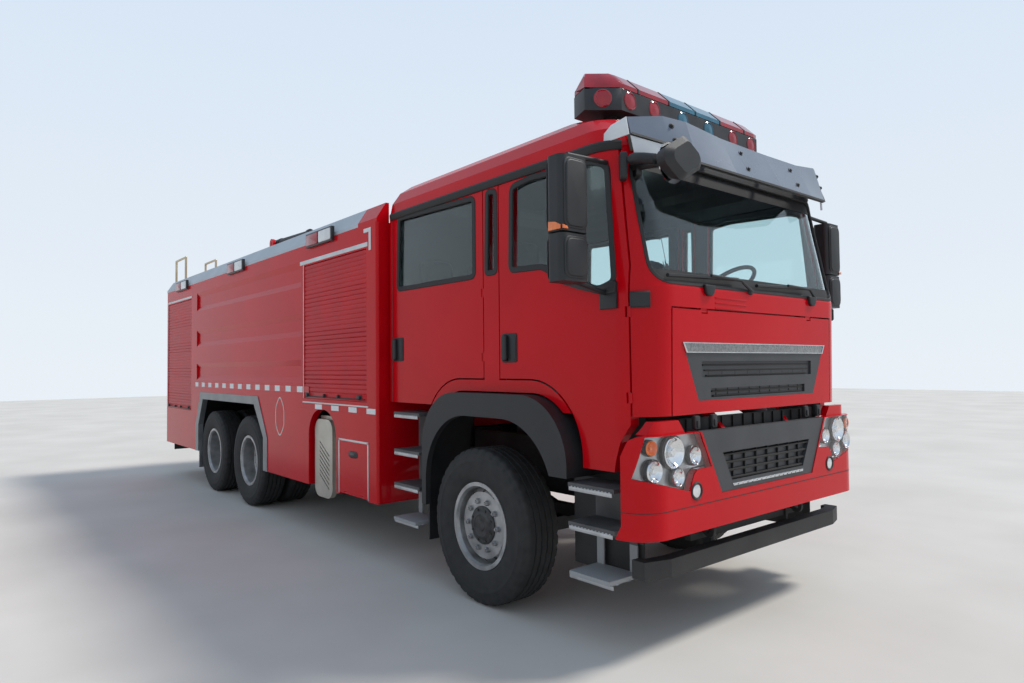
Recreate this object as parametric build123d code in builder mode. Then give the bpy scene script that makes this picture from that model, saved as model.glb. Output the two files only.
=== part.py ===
"""Foam fire truck with a crew cab on a three axle chassis, as an assembly of separate pieces.

Millimetres. X points forward, Y to the driver's side (the left), Z up. The origin lies on the ground,
under the middle of the whole vehicle's box. Heights are above the ground. Distances along the truck are
given from the front axle, positive ahead of it, and at() turns them into X.
"""
from build123d import *
from math import cos, radians, sin
import os

# Overall
FRONT_REACH = 1700          # front axle to the kerb mirror's front
REAR_REACH = 8330           # front axle to the ladder's rear
AXLE_X = (REAR_REACH - FRONT_REACH) / 2
SIDES = (-1, 1)             # -1 is the right side, 1 is the left
SIDE_NAMES = ("right", "left")
SEAT = 0.3                  # gap where one piece sits on another
GAP = 10                    # seam round a door or lid

# Wheels and axles
WHEELBASE = 4600
BOGIE = 1350                # from the first rear axle to the second
TYRE_R = 535
TYRE_W = 300
RIM_R = 298.5               # rim flange
BEAD_R = 286
BARREL_R = 262              # inside of the rim's barrel
RIM_W = 250
FLANGE_W = 10
LEDGE = 20                  # where the rim's flare starts
TYRE_ROOM = 1.5
# a tyre's side: radius, and how far in from its widest place
WALL_FORM = ((410, 0), (490, 6), (TYRE_R - 12, 22), (TYRE_R, 42))
TRACK_Y = 1070              # middle of an outer tyre
TWIN = 340                  # between the middles of twin tyres
DISC_T = 14
# A wheel's disc: radius of its flat part, fall from there to the barrel, and its vents' radius, circle
# and number
FRONT_FORM = (222, 45, 15, 482, 12)
REAR_FORM = (190, 110, 28, 450, 10)
HUB_R = 130
KINGPIN_Y = 950
KINGPIN_R = 25
SPINDLE_R = 40
AXLE_R = 62
GEAR_CASE = ((AXLE_R, 330), (120, 250), (215, 110))      # radius and distance from the middle
DRUM_R = 200

# Chassis
RAIL_Y = 430                # outer face of a frame rail
RAIL_W = 70
RAIL_T = 12
RAIL_TOP = 1080
RAIL_H = 280
RAIL_FRONT = 1250
RAIL_REAR = -8200
TUNNEL_Y = 500              # half the width of the room for the chassis under the body
ENGINE = (-600, 780, 345, 640, 1480)     # rear, front, half width, bottom, top
PIVOT = (1395, 1200)        # cab tilt pin, ahead of the axle and height
PIVOT_Y = 360
PIVOT_R = 22
ARM_T = 40                  # the cab's arm beside the pin
ARM_FORM = ((1365, 1180), (1429, 1220), (1310, 1365), (1240, 1365))
ARM_EYE_R = 38

# Cab, widths are half widths
CAB_REAR = -1295
CAB_Z = 1345                # lower edge
SKIRT_Z = 1030              # lower edge of the front doors
WALL = 60
DRIP_Z = 2900
ROOF_H = 310                # the roof's rise over the drip moulding
ROOF_SIDE = 300             # how far the roof's shoulder comes in
ROOF_NOSE = 600
ROOF_TAIL = 110
ROOF_STEPS = (0, 22, 44, 66, 90)
CORNER_R = 230
TAIL_CORNER_R = 80
# height, front of the cab, half width
CAB_LEVELS = (
    (SKIRT_Z - 20, 1440, 1146),
    (2070, 1460, 1146),
    (DRIP_Z, 1285, 1146),
)
FLOOR_T = 45
FLOOR_FRONT = 1330
ARCH_SKIN = 40              # the cab's own panel over the wheel arch
SCREEN = (1050, 2095, 2855, 130)        # windscreen: half width, bottom, top, corner radius
HUMP = (-720, 960, 490, 1620)            # engine tunnel: rear, front, half width, top
HUMP_T = 40

# Front wheel arch, seen from the side: rear, front, top, corner radius
FLARE_OUT = (-655, 920, 1450, 420)
FLARE_IN = (-600, 800, 1290, 500)
FLARE_Z = 600
FLARE_FRONT_Z = 970
FLARE_Y = 1245
FLARE_T = 45
LINER_T = 20
LINER_Y = 800
LIP = 90                    # red lip between the flare and the doors
LIP_AHEAD = 30
FLAP_Z = 320
FLAP_T = 12
FLAP_IN = (60, 40)          # a flap's edges inside the flare's face and outside its liner
FLARE_ARMS = ((-650, -595, 900), (860, 915, 1000))       # rear, front, bottom
FLARE_ARM_H = 40

# Doors, seen from the side
REAR_DOOR = (-1255, 0)
FRONT_DOOR = (187, 1312)
DOOR_TOP = 2885
PILLAR_TOP = 1215           # front door's seam at the top
PILLAR_Z = 2190
TOE = ((1207, SKIRT_Z), (1215, 1083), (1250, 1200), (1312, 1300))       # the slanted lower front corner
REAR_HINGES = (1700, 2150)
FRONT_HINGES = (1450, 1930)
FRONT_HINGE_Y = 1121
HINGE_IN = 8                # hinge pin behind the seam and under the skin
HINGE_R = 8
HINGE_PIN_R = 5
HINGE_H = 60
HINGE_PIN_H = 100
PIN_ROOM = 2                # how much longer a pin's bore is
LUG_FOOT = 15               # a lug's foot past the seam
LUG_FLAT = 6                # a lug's flat side off the pin
NOTCH = (12, 36, 80, 40)    # room round a lug: behind, ahead, inwards, outwards
GLASS_IN = 18               # glass under the outer skin
GLASS_T = 8

# Front panel
LID = (925, 1345, 1950)     # half width, bottom, top
LID_T = 40
LID_HINGES = (-620, 620)
LID_AXIS_IN = 14            # the lid's hinge line behind the cab's front
LID_ROOM = (10, 60, 5)      # room round the lid: at the sides and top, at the foot, behind
LID_NOTCH = (-80, 40, 60, 16)            # room round its lugs: rear, front, width, half height
NOSE = (1000, 1700)         # the stretch that cuts through the cab's front reach over
GRILLE_TOP = (810, 1710)
GRILLE_LOW = (680, 1420)
GRILLE_T = 28

# Bumper
BUMPER_X = 1500
BUMPER_REAR = 1290
BUMPER_Y = 1250
BUMPER_Z = (690, 1250)
BUMPER_T = 50
BUMPER_R = 200
# the side ends' rear edge: it leans at the foot and rounds off at the top
BUMPER_BACK = ((1200, 640), (1270, 640), (1337, 765), (1337, 1140), (1380, 1227), (1430, 1251), (1200, 1251))
CORNER_PANEL = ((830, 1240), (893, 1322), (1100, 1322), (1150, 1240))
PANEL_IN = (40, 90)
LAMP_T = 60
LAMP_IN = 4                 # the lamps' face behind the bumper's
GRILLE_IN = 6
BUMPER_CUT = (1280, 1700)   # the stretch that cuts through the bumper reach over
UNDERRUN = (1360, 1440, 950, 456, 558)   # rear, front, half width, bottom, top
UNDERRUN_END = (1300, 1120, 50)          # rear and half width of its ends, and their sweep
UNDERRUN_T = 70

# Steps: rear, front, treads' heights, the lowest one hanging on two straps
FRONT_STEPS = (900, 1262, (418, 696, 924))
REAR_STEPS = (-1120, -740, (410, 680, 950, 1250))
STEP_Y = 1215
STEP_DEEP = 245
TREAD_T = 24
PLATE_T = 10
STRAP_W = 55
STIRRUP_IN = 25             # the stirrup is this much shorter at each end
STIRRUP_OUT = 20            # and hangs this much further out
STEP_PLATE_FOOT = 90
STEP_BEAM = (40, 840, 920)  # half width, bottom, top

# Body behind the cab
BODY_FRONT = -1335
BODY_REAR = -8270
BODY_Y = 1250
BODY_Z = 490
BODY_TOP = 2870
BODY_R = 25
RAIL_STRIP = 30             # upright foot of the top rail
RAIL_RISE = 170
RAIL_LEAN = 90
RAIL_FLAT = 30
CAP_REAR = -1670            # the top rail's painted front cap starts here
ARCH_TOP = 1235
ARCH = (-6500, -6290, -4250, -3950)      # rear at the bottom and top, front at the top and bottom
ARCH_BEND = 860             # height where the arch's ends turn upright
TRIM_W = 110
TRIM_PROUD = 8
TRIM_IN = 60                # how far the trim's lining reaches in
LINING_T = 12
REAR_FLAP = (620, 260, 610)              # inner edge, bottom, top
GROOVES = ((1483, 1720), (1955, 2190), (2460, 2720))
GROOVE_X = (-6600, -2910)
GROOVE_T = 25
GROOVE_SLOPE = 60
FRONT_SHUTTER = (-2830, -1520, 1335, 2665)
REAR_SHUTTER = (-8180, -6870, 1040, 2665)
TAIL_SHUTTER = (700, 1130, 2665)          # half width, bottom, top
SHUTTER_DEEP = 30
SHUTTER_T = 22
SLAT = 38
SLAT_R = 8                  # a slat's bevel
BAY = (-2730, -2110, ARCH_TOP, 270)      # recess for silencer and tank: rear, front, top, radius
BAY_IN = 495
LOCKER = (-2040, -1510, 505, 975)
LOCKER_T = 30
LOCKER_DEEP = 600
LOCKER_EDGE = 30            # the frame that the door shuts on
LOCKER_CUP = (110, 18, 60, 110)          # the door's grip: length, depth, height, fall from the top
LOCKER_NOTCH = (60, 38)     # room round a lug of the door: depth and height
LOCKER_ROOM = 7             # room behind the locker door, for its lower edge to turn in
SILENCER = (-2670, -2280, 390, 1140)
CAN = (-2630, -2190, 440, 1170)          # the silencer behind its cover
CAN_IN = 90
CAN_DEEP = 640
CAN_R = 120
CAN_ARM = (-2510, -2440, 860, 940)
COVER_IN = 40
COVER_R = 110
TANK = (-2700, -2140, 450, 1080)
TANK_Y = (620, 1210)
TANK_R = 80
TANK_BANDS = (-2580, -2260)
TANK_ARM = (50, 370, 490)   # width, and its bottom and top over the tank's

# Mirrors: centre ahead of the axle and out, and their arms' roots
MIRROR = (1190, 1475)
MIRROR_W = (130, 205)
MIRROR_HEADS = ((2345, 2755), (2080, 2335))
MIRROR_ARMS = ((2775, 2800), (2100, 2040))       # height at the mirror, height at the door
MIRROR_ROOT = (1165, 1130)
MIRROR_TUBE = 14
MIRROR_CORNER = 40
KERB = (1600, -1095, 2712)
KERB_ROOT = (1268, -1030, 2768)
KERB_HALF = (215, 122, 12)  # half width, half height, turned by so many degrees
ARM_R = 24
# the housing's sections, as distance and share of the full size, and its outline
KERB_SECTIONS = ((FRONT_REACH, 0.7), (FRONT_REACH - 30, 1), (KERB[0], 0.82))
KERB_OUTLINE = ((-1, 0.3), (-0.2, -1), (1, -0.3), (0.2, 1))
KERB_CORNER = 60

# Visor: distance from the middle, then reach and height of its lower and of its upper edge
VISOR = (
    (0, (1625, 2735), (1500, 2982)),
    (450, (1592, 2750), (1480, 2998)),
    (760, (1530, 2780), (1450, 3040)),
    (900, (1440, 2880), (1392, 3060)),
    (1110, (1335, 2930), (1308, 3032)),
)
VISOR_T = 14
VISOR_BRACKETS = (-880, -320, 320, 880)
VISOR_FOOT = (1150, 6, 12, 60, 15)       # rear, reach into the blade, half width, fall to bottom and top

# Inside the cab
STEER = (800, 640, 2240)
STEER_R = 225
STEER_RIM = 16
STEER_HUB = (60, 18, 40)    # radius, thickness, width of the spokes
COLUMN = 450
COLUMN_R = 30
DASH = ((1010, 1750), (1390, 1750), (1390, 2060), (1120, 2060), (1010, 1960))
DASH_HALF = 1040
SEAT_Z = (1650, 1900, 2560)              # under the cushion, its top, top of the back
SEAT_FORM = (30, 70, 30, 120, 90)        # foot set back behind and ahead, lip, back's thickness, its lean
FRONT_SEATS = ("front_seats", (-780, 780), 500, 20, 480)
CREW_BENCH = ("crew_bench", (0,), 2050, -1130, 440)

# Roof
MONITOR_X = -6750
MONITOR_Z = 3580            # height of the barrel's axis
BARREL = 1180               # axis to nozzle
BARREL_R1 = 70
BARREL_R2 = 42
LADDER_Y = (-1105, -655)
TUBE_R = 17
RUNGS = 6
RUNG_R = 14
RUNG_Z = (760, 2750)
LADDER_FOOT = 640
LADDER_STAYS = (700, 1900, 2750)
BAR_X = 840
BAR_HALF = 970
BAR_Z = (3240, 3505)
BAR_W = 300
BAR_ENDS = (180, 60)        # how far the front and rear edges stop short of the ends
BAR_CHAMFER = 35
BAR_FOOT = (60, 40, 120)    # half length, half width, height


# Chassis and its fittings
POST_T = 60
POST_DEEP = 150             # the cab rest's foot below the rail's top
SADDLE = (110, 90, 60)      # half length, reach out, fall from the rail's top
TAIL_LEG = (60, 50, 40)     # length, thickness, fall from the rail's top
TAIL_BAR_T = 20
CROSS_HALF = 40
CROSS_IN = 30               # a cross member stands this far inside the rail's height
BRACKET_FOOT = 830
BRACKET_NOSE = (1300, 800, 930, 960)     # the nose bracket: its rear, then its heights
HITCH_BOSS = (70, 60)
HITCH_BLOCK = (70, 90)
ENGINE_FOOT = (40, 200, 140)             # half length, fall to its bottom and top
SHAFT = (45, 50, 60, 130)   # radii behind and ahead, heights over axle and engine's foot
BEAM = (45, 400, 500)       # half length, bottom, top
BEAM_EYE = (60, 20, 50)     # where its root starts, how far its root stops short, its radius
CAB_POST = (-1180, -1080)   # rear cab rest
CROSS = (1100, -1500, -2600, -3700, -6700, RAIL_REAR + 40)
ENGINE_FEET = (-450, 600)
BEAM_END = 800
KNUCKLE_Z = (450, 620)      # bottom and top of the beam's eye
FORK_T = 40                 # the knuckle's two arms round the eye
FORK_R = 48
FORK_OUT = 80
FLANGE_HALF = 70
FLANGE_T = 24
SPINDLE_ROOT = 60
COLLAR = (60, 28, 34)       # radius, end of its flat, end of its bevel
SPINDLE = 130
HUB_IN = -20
HUB_OUT = 98
HUB_BORE = 78
HUB_BEVEL = 10
REAR_HUB = (-TWIN / 2 - 80, 150, 190, 110)               # drum's end, cap's start and end, bore's end
FRONT_DISC = 74
AXLE_END = 995
SPRING_TOP = 760
SPRING_T = 90               # a front spring's thickness at its middle
SPRING_LONG = 760           # half length of a front spring
SPRING_PAD = 90
SPRING_W = 80
SPRING_EYE_T = 30
SPRING_FOOT = (60, 90)      # a rear spring's seat, inside and outside the axle's line
SPRING_EYE = RAIL_TOP - RAIL_H - SEAT
TAIL_BAR_Y = 1150
TAIL_BAR_Z = (360, 480)
HITCH_Z = 900
HITCH_R = 22
GRILLE_SLOTS = ((1556, 1650, 650), (1437, 1490, 560))
LOW_MOUTH = ((516, 1113), (425, 940))
MOUTH_IN = 32               # depth of the lower grille's mouth
BRACKET_T = 30
BRACKET_REAR = 1140
LOCKER_HINGES = (-1930, -1620)
LOUVRES = (930, 885, 840, 795, 750, 705, 660, 615)
LOUVRE = (108, 324, 129, 15)             # start, end, fall, width
LOUVRE_DEEP = 12
HOOP = 560                  # length of a hoop along the roof
HOOP_TOP = 3400
MARKERS = (-2430, -4880, -7330)
MARKER = (290, 32, -45, 90)              # half length, thickness, bottom and top over the body's edge
TAIL_LAMP = (30, 1145, 1235, 560, 940)   # thickness, inner and outer edge, bottom, top
ELBOW_Z = 3350
ELBOW_R = 110
ELBOW_H = 120
FOOT_R = 90
FOOT_FLANGE_R = 180
FOOT_FLANGE_T = 30
CHEEK = (20, 60)            # the elbow's cheeks, inside and outside, off the barrel
CHEEK_R = 70
TRUNNION_R = 28
BOSS_R = 60
BREECH = (-65, 140)
NOZZLE_T = 60
NOZZLE_R = 25
NOZZLE_DEEP = 150
BAR_FEET = (-700, 700)


def at(distance):
    """X of a point that lies this far ahead of the front axle."""
    return AXLE_X + distance


def block(x0, x1, y0, y1, z0, z1):
    """A box between two corners, in the builder that is open."""
    with Locations(((x0 + x1) / 2, (y0 + y1) / 2, (z0 + z1) / 2)):
        Box(abs(x1 - x0), abs(y1 - y0), abs(z1 - z0))


def block_part(x0, x1, y0, y1, z0, z1):
    """The same box as a part of its own, with x as distances from the front axle."""
    with BuildPart() as solid:
        block(at(x0), at(x1), y0, y1, z0, z1)
    return solid.part


def prism(points, y0, y1):
    """A solid from a side outline of (distance, height) points, between two Y values."""
    with BuildPart() as solid:
        with BuildSketch(Plane.XZ.offset(-y0)):
            with BuildLine():
                Polyline([(at(x), z) for x, z in points], close=True)
            make_face()
        extrude(amount=y0 - y1)
    return solid.part


def front_prism(points, x0, x1):
    """A solid from a front outline of (y, z) points, from one distance to another."""
    with BuildPart() as solid:
        with BuildSketch(Plane.YZ.offset(at(x0))):
            with BuildLine():
                Polyline(points, close=True)
            make_face()
        extrude(amount=x1 - x0)
    return solid.part


def cab_solid(inset):
    """The cab's outer form, shrunk by the inset on every side but the lower one."""
    levels = [(z, front, half, CAB_REAR) for z, front, half in CAB_LEVELS[:-1]]
    top_front, top_half = CAB_LEVELS[-1][1:]
    for step in ROOF_STEPS:
        fall = 1 - cos(radians(step))
        rise = (ROOF_H - inset) * sin(radians(step))
        levels.append((DRIP_Z + rise, top_front - ROOF_NOSE * fall, top_half - ROOF_SIDE * fall,
                       CAB_REAR + ROOF_TAIL * fall))
    with BuildPart() as solid:
        for z, front, half, rear in levels:
            with BuildSketch(Plane.XY.offset(z)):
                with Locations((at((front + rear) / 2), 0)):
                    box = Rectangle(front - rear - 2 * inset, 2 * (half - inset))
                ends = box.vertices().group_by(Axis.X)
                fillet(ends[-1], CORNER_R - inset)
                fillet(ends[0], TAIL_CORNER_R - inset / 2)
        loft(ruled=True)
    return solid.part


def arch_sketch(rear, front, top, radius):
    """The outline of an upright arch with round upper corners, down to the ground."""
    with BuildSketch() as outline:
        with Locations((at((rear + front) / 2), top / 2)):
            box = Rectangle(front - rear, top)
        fillet(box.vertices().group_by(Axis.Y)[-1], radius)
    return outline.sketch


def arch_solid(rear, front, top, radius, y0, y1):
    """The space of such an arch from one distance off the middle to another."""
    with BuildPart() as solid:
        with BuildSketch(Plane.XZ.offset(-y0)):
            add(arch_sketch(rear, front, top, radius))
        extrude(amount=y0 - y1)
    return solid.part


# Forms that several pieces of the cab are cut from
cab_outer = cab_solid(0)
cab_inner = cab_solid(WALL)
pane_outer = cab_solid(GLASS_IN)
pane_inner = cab_solid(GLASS_IN + GLASS_T)
cab_skin = cab_outer - cab_inner
FAR = 1400                  # wider than the vehicle
LONG = 9000                 # longer than the vehicle
DOOR_IN = 700               # a side prism reaches in to here, short of the other side

door_outlines = {
    "rear": [
        (REAR_DOOR[0], CAB_Z), (REAR_DOOR[1], CAB_Z),
        (REAR_DOOR[1], DOOR_TOP), (REAR_DOOR[0], DOOR_TOP),
    ],
    "front": [
        (FRONT_DOOR[0], SKIRT_Z), *TOE, (FRONT_DOOR[1], PILLAR_Z), (PILLAR_TOP, DOOR_TOP),
        (FRONT_DOOR[0], DOOR_TOP),
    ],
}
window_outlines = {
    "rear": [(-1165, 2280), (-100, 2275), (-100, 2840), (-1145, 2870)],
    "front": [(305, 2272), (620, 2262), (760, 2185), (1100, 2070), (1225, 2105),
              (1165, 2790), (1060, 2830), (510, 2852), (320, 2830)],
    "quarter": [(40, 2280), (150, 2280), (150, 2840), (55, 2850)],
}
hinge_places = {
    "rear": (REAR_DOOR[1] - HINGE_IN, CAB_LEVELS[0][2] - HINGE_IN, REAR_HINGES),
    "front": (FRONT_DOOR[1] - HINGE_IN, FRONT_HINGE_Y, FRONT_HINGES),
}


def side_cut(outline, side, margin=0.0):
    """A prism through one side of the cab, with its outline grown by the margin."""
    inner = DOOR_IN if max(x for x, z in outline) > FRONT_DOOR[0] else CAB_LEVELS[0][2] - WALL
    with BuildPart() as solid:
        with BuildSketch(Plane.XZ.offset(-side * FAR)):
            with BuildLine():
                Polyline([(at(x), z) for x, z in outline], close=True)
            make_face()
            if margin:
                offset(amount=margin, kind=Kind.INTERSECTION)
        extrude(amount=side * (FAR - inner))
    return solid.part


def front_arch(side, grow, ahead):
    """The front wheel's arch on one side, grown upwards and to the rear, and by less ahead."""
    rear, front, top, radius = FLARE_OUT
    return arch_solid(rear - grow, front + ahead, top + grow, radius + grow / 2,
                      side * FAR, side * DOOR_IN)


def hinge_pin(kind, side):
    """The lugs and pins on the cab that carry one door."""
    x, y, heights = hinge_places[kind]
    pillar = (REAR_DOOR[1] if kind == "rear" else FRONT_DOOR[1]) + LUG_FOOT
    with BuildPart() as solid:
        for z in heights:
            with Locations((at(x), side * y, z)):
                Cylinder(HINGE_R, HINGE_H - 2 * SEAT)
                Cylinder(HINGE_PIN_R, HINGE_PIN_H)
            block(at(x), at(pillar), side * (y - HINGE_R), side * (y + LUG_FLAT),
                  z - HINGE_H / 2 + SEAT, z + HINGE_H / 2 - SEAT)
    return solid.part


def hinge_notch(kind, side):
    """The room in one door for its lugs and pins."""
    x, y, heights = hinge_places[kind]
    behind, ahead, inwards, outwards = NOTCH
    with BuildPart() as solid:
        for z in heights:
            block(at(x - behind), at(x + ahead), side * (y - inwards), side * (y + outwards),
                  z - HINGE_H / 2, z + HINGE_H / 2)
            with Locations((at(x), side * y, z)):
                Cylinder(HINGE_PIN_R + SEAT, HINGE_PIN_H + PIN_ROOM)
    return solid.part


def tube(start, end, radius):
    """A round bar between two (distance, y, z) points."""
    foot = Vector(at(start[0]), start[1], start[2])
    run = Vector(at(end[0]), end[1], end[2]) - foot
    with BuildPart() as solid:
        with BuildSketch(Plane(origin=foot, z_dir=run)):
            Circle(radius)
        extrude(amount=run.length)
    return solid.part


def turned(distance, y, side, points):
    """A solid of (radius, offset outwards) points, turned about a wheel's axis at y."""
    with BuildPart() as solid:
        with BuildSketch(Plane.YZ.offset(at(distance))):
            with BuildLine():
                Polyline([(y + side * out, TYRE_R + radius) for radius, out in points], close=True)
            make_face()
        revolve(axis=Axis((at(distance), 0, TYRE_R), (0, 1, 0)))
    return solid.part


def rounded_front(half_width, bottom, top, radius):
    """A front outline with its corners cut in short steps of an arc."""
    points = []
    for corner_y, corner_z, start in ((half_width, bottom, -90), (half_width, top, 0),
                                      (-half_width, top, 90), (-half_width, bottom, 180)):
        centre_y = corner_y - radius * (1 if corner_y > 0 else -1)
        centre_z = corner_z + radius * (1 if corner_z == bottom else -1)
        for step in range(4):
            angle = radians(start + 30 * step)
            points.append((centre_y + radius * cos(angle), centre_z + radius * sin(angle)))
    return points


def shrunk(points):
    """The same front outline, moved in by the seat's gap towards its middle."""
    middle_y = sum(y for y, z in points) / len(points)
    middle_z = sum(z for y, z in points) / len(points)
    return [(y - 2 * SEAT * (1 if y > middle_y else -1), z - 2 * SEAT * (1 if z > middle_z else -1))
            for y, z in points]


def rail_profile(side):
    """Section of a top rail: a short upright foot, a face that leans in, and a flat top."""
    return [(side * y, z) for y, z in (
        (BODY_Y, BODY_TOP), (BODY_Y, BODY_TOP + RAIL_STRIP), (BODY_Y - RAIL_LEAN, BODY_TOP + RAIL_RISE),
        (BODY_Y - RAIL_LEAN - RAIL_FLAT, BODY_TOP + RAIL_RISE), (BODY_Y - RAIL_LEAN - RAIL_FLAT, BODY_TOP))]


def curtain(bottom, top, width, plane):
    """A slatted curtain on a plane whose X points out of the wall and whose Y points up."""
    slats = round((top - bottom) / SLAT)
    pitch = (top - bottom - 2 * SEAT) / slats
    with BuildPart() as solid:
        with BuildSketch(plane):
            with BuildLine():
                points = [(SEAT, bottom + SEAT)]
                for step in range(slats):
                    z = bottom + SEAT + step * pitch
                    points += [(SHUTTER_T, z + SLAT_R), (SHUTTER_T, z + pitch - SLAT_R),
                               (SHUTTER_T - SLAT_R, z + pitch)]
                points[-1] = (SHUTTER_T - SLAT_R, top - SEAT)
                Polyline(points + [(SEAT, top - SEAT)], close=True)
            make_face()
        extrude(amount=width - SEAT)
    return solid.part


def save(builder, name):
    """Label a finished piece and write it."""
    part = builder.part if isinstance(builder, BuildPart) else builder
    part.label = name
    export_step(part, f"parts/{name}.step")


os.makedirs("parts", exist_ok=True)

# Cab shell: walls, roof, floor, engine tunnel, hinge lugs and the arms down to the tilt pin
lid_axis = (CAB_LEVELS[1][1] - LID_AXIS_IN, LID[2] - HINGE_IN)
lid_outline = [(-LID[0], LID[1]), (LID[0], LID[1]), (LID[0], LID[2]), (-LID[0], LID[2])]
room, foot_room, back_room = LID_ROOM
pocket_outline = [(-LID[0] - room, LID[1] - foot_room), (LID[0] + room, LID[1] - foot_room),
                  (LID[0] + room, LID[2] + room), (-LID[0] - room, LID[2] + room)]
below_floor = block_part(-LONG, LONG, -FAR, FAR, 0, CAB_Z)
above_floor = cab_inner - below_floor
with BuildPart() as cab_shell:
    add(cab_skin)
    add(below_floor, mode=Mode.SUBTRACT)
    floor_half = CAB_LEVELS[0][2] - WALL / 2
    block(at(CAB_REAR + WALL / 2), at(FLOOR_FRONT), -floor_half, floor_half, CAB_Z, CAB_Z + FLOOR_T)
    block(at(HUMP[0]), at(HUMP[1]), -HUMP[2], HUMP[2], CAB_Z, HUMP[3])
    with Locations((at((HUMP[0] + HUMP[1]) / 2), 0, (CAB_Z + HUMP[3] - HUMP_T) / 2)):
        Box(HUMP[1] - HUMP[0] - 2 * HUMP_T, 2 * (HUMP[2] - HUMP_T), HUMP[3] - HUMP_T - CAB_Z,
            mode=Mode.SUBTRACT)
    for side in SIDES:
        add(front_arch(side, GAP + ARCH_SKIN, GAP + ARCH_SKIN) & above_floor)
        add(front_arch(side, GAP, GAP), mode=Mode.SUBTRACT)
        for outline in door_outlines.values():
            add(side_cut(outline, side, GAP) - front_arch(side, LIP, LIP_AHEAD), mode=Mode.SUBTRACT)
        add(side_cut(window_outlines["quarter"], side), mode=Mode.SUBTRACT)
        for kind in door_outlines:
            add(hinge_pin(kind, side))
        add(prism(ARM_FORM, side * PIVOT_Y, side * (PIVOT_Y + ARM_T)))
        with Locations(Location((at(PIVOT[0]), side * (PIVOT_Y + ARM_T / 2), PIVOT[1]), (90, 0, 0))):
            Cylinder(ARM_EYE_R, ARM_T)
            Cylinder(PIVOT_R + SEAT, 2 * ARM_T, mode=Mode.SUBTRACT)
    add(front_prism(rounded_front(*SCREEN), *NOSE), mode=Mode.SUBTRACT)
    add((cab_outer - cab_solid(LID_T + back_room)) & front_prism(pocket_outline, *NOSE), mode=Mode.SUBTRACT)
    for y in LID_HINGES:
        with Locations(Location((at(lid_axis[0]), y, lid_axis[1]), (90, 0, 0))):
            Cylinder(HINGE_R, HINGE_H - 2 * SEAT)
            Cylinder(HINGE_PIN_R, HINGE_PIN_H)
        block(at(lid_axis[0] - LUG_FLAT), at(lid_axis[0] + LUG_FLAT), y - HINGE_H / 2 + SEAT,
              y + HINGE_H / 2 - SEAT, lid_axis[1], LID[2] + room + LUG_FOOT)
    add(block_part(-LONG, LONG, -FAR, FAR, DRIP_Z, DRIP_Z + SEAT), mode=Mode.SUBTRACT)
save(cab_shell, "cab_shell")

# Glass that doesn't move: the windscreen and the small windows between the doors
pane = pane_outer - pane_inner
cab_glass = pane & front_prism(rounded_front(SCREEN[0] - SEAT, SCREEN[1] + SEAT, SCREEN[2] - SEAT, SCREEN[3]),
                               *NOSE)
for side in SIDES:
    cab_glass = cab_glass + (pane & side_cut(window_outlines["quarter"], side, -SEAT))
save(cab_glass, "cab_glass")

# Doors: each a stretch of the cab's skin, with its window and glass, on two hinge pins
for side, side_name in zip(SIDES, SIDE_NAMES):
    for kind, outline in door_outlines.items():
        door = (cab_skin & side_cut(outline, side)) - front_arch(side, LIP + GAP, LIP_AHEAD + GAP)
        door = door - side_cut(window_outlines[kind], side) - hinge_notch(kind, side)
        save(door, f"{kind}_door_{side_name}")
        save(pane & side_cut(window_outlines[kind], side, -SEAT), f"{kind}_door_glass_{side_name}")

# Main mirrors: two housings one above the other, on a pair of arms from each front door
clear_cab = cab_solid(-SEAT)
for side, side_name in zip(SIDES, SIDE_NAMES):
    with BuildPart() as mirror:
        for z0, z1 in MIRROR_HEADS:
            with BuildSketch(Plane.XY.offset(z0)):
                with Locations((at(MIRROR[0]), side * MIRROR[1])):
                    RectangleRounded(MIRROR_W[0], MIRROR_W[1], MIRROR_CORNER)
            extrude(amount=z1 - z0)
        root_x, root_y, tip_x, tip_y = *MIRROR_ROOT, *MIRROR
        for z_tip, z_root in MIRROR_ARMS:
            add(tube((root_x, side * root_y, z_root), (tip_x, side * tip_y, z_tip), MIRROR_TUBE))
        add(tube((tip_x, side * tip_y, MIRROR_ARMS[1][0]), (tip_x, side * tip_y, MIRROR_ARMS[0][0]),
                 MIRROR_TUBE))
        add(clear_cab, mode=Mode.SUBTRACT)
    save(mirror, f"mirror_{side_name}")

# Kerb mirror: a housing like a rounded diamond on a thick arm, ahead of the right front pillar
with BuildPart() as kerb_mirror:
    for x, share in KERB_SECTIONS:
        with BuildSketch(Plane.YZ.offset(at(x))):
            with Locations(Location((KERB[1], KERB[2], 0), KERB_HALF[2])):
                diamond = Polygon(*[(share * KERB_HALF[0] * y, share * KERB_HALF[1] * z)
                                    for y, z in KERB_OUTLINE])
            fillet(diamond.vertices(), KERB_CORNER * share)
    loft(ruled=True)
    add(tube(KERB_ROOT, (KERB[0] + ARM_R, KERB[1], KERB[2]), ARM_R))
    add(clear_cab, mode=Mode.SUBTRACT)
save(kerb_mirror, "kerb_mirror")

# Sun visor: a saddle shaped blade over the windscreen, on four brackets
with BuildPart() as sun_visor:
    stations = [(-y, low, high) for y, low, high in reversed(VISOR[1:])] + list(VISOR)
    for y, low, high in stations:
        with BuildSketch(Plane.XZ.offset(-y)):
            with BuildLine():
                Polyline([(at(low[0]), low[1]), (at(high[0]), high[1]), (at(high[0] - VISOR_T), high[1]),
                          (at(low[0] - VISOR_T), low[1])], close=True)
            make_face()
    loft(ruled=True)
    foot, reach, half, fall_low, fall_high = VISOR_FOOT
    for y in VISOR_BRACKETS:
        high_x, high_z = VISOR[3][2] if abs(y) > VISOR[2][0] else VISOR[1][2]
        block(at(foot), at(high_x + reach), y - half, y + half, high_z - fall_low, high_z - fall_high)
    add(clear_cab, mode=Mode.SUBTRACT)
save(sun_visor, "sun_visor")

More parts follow.
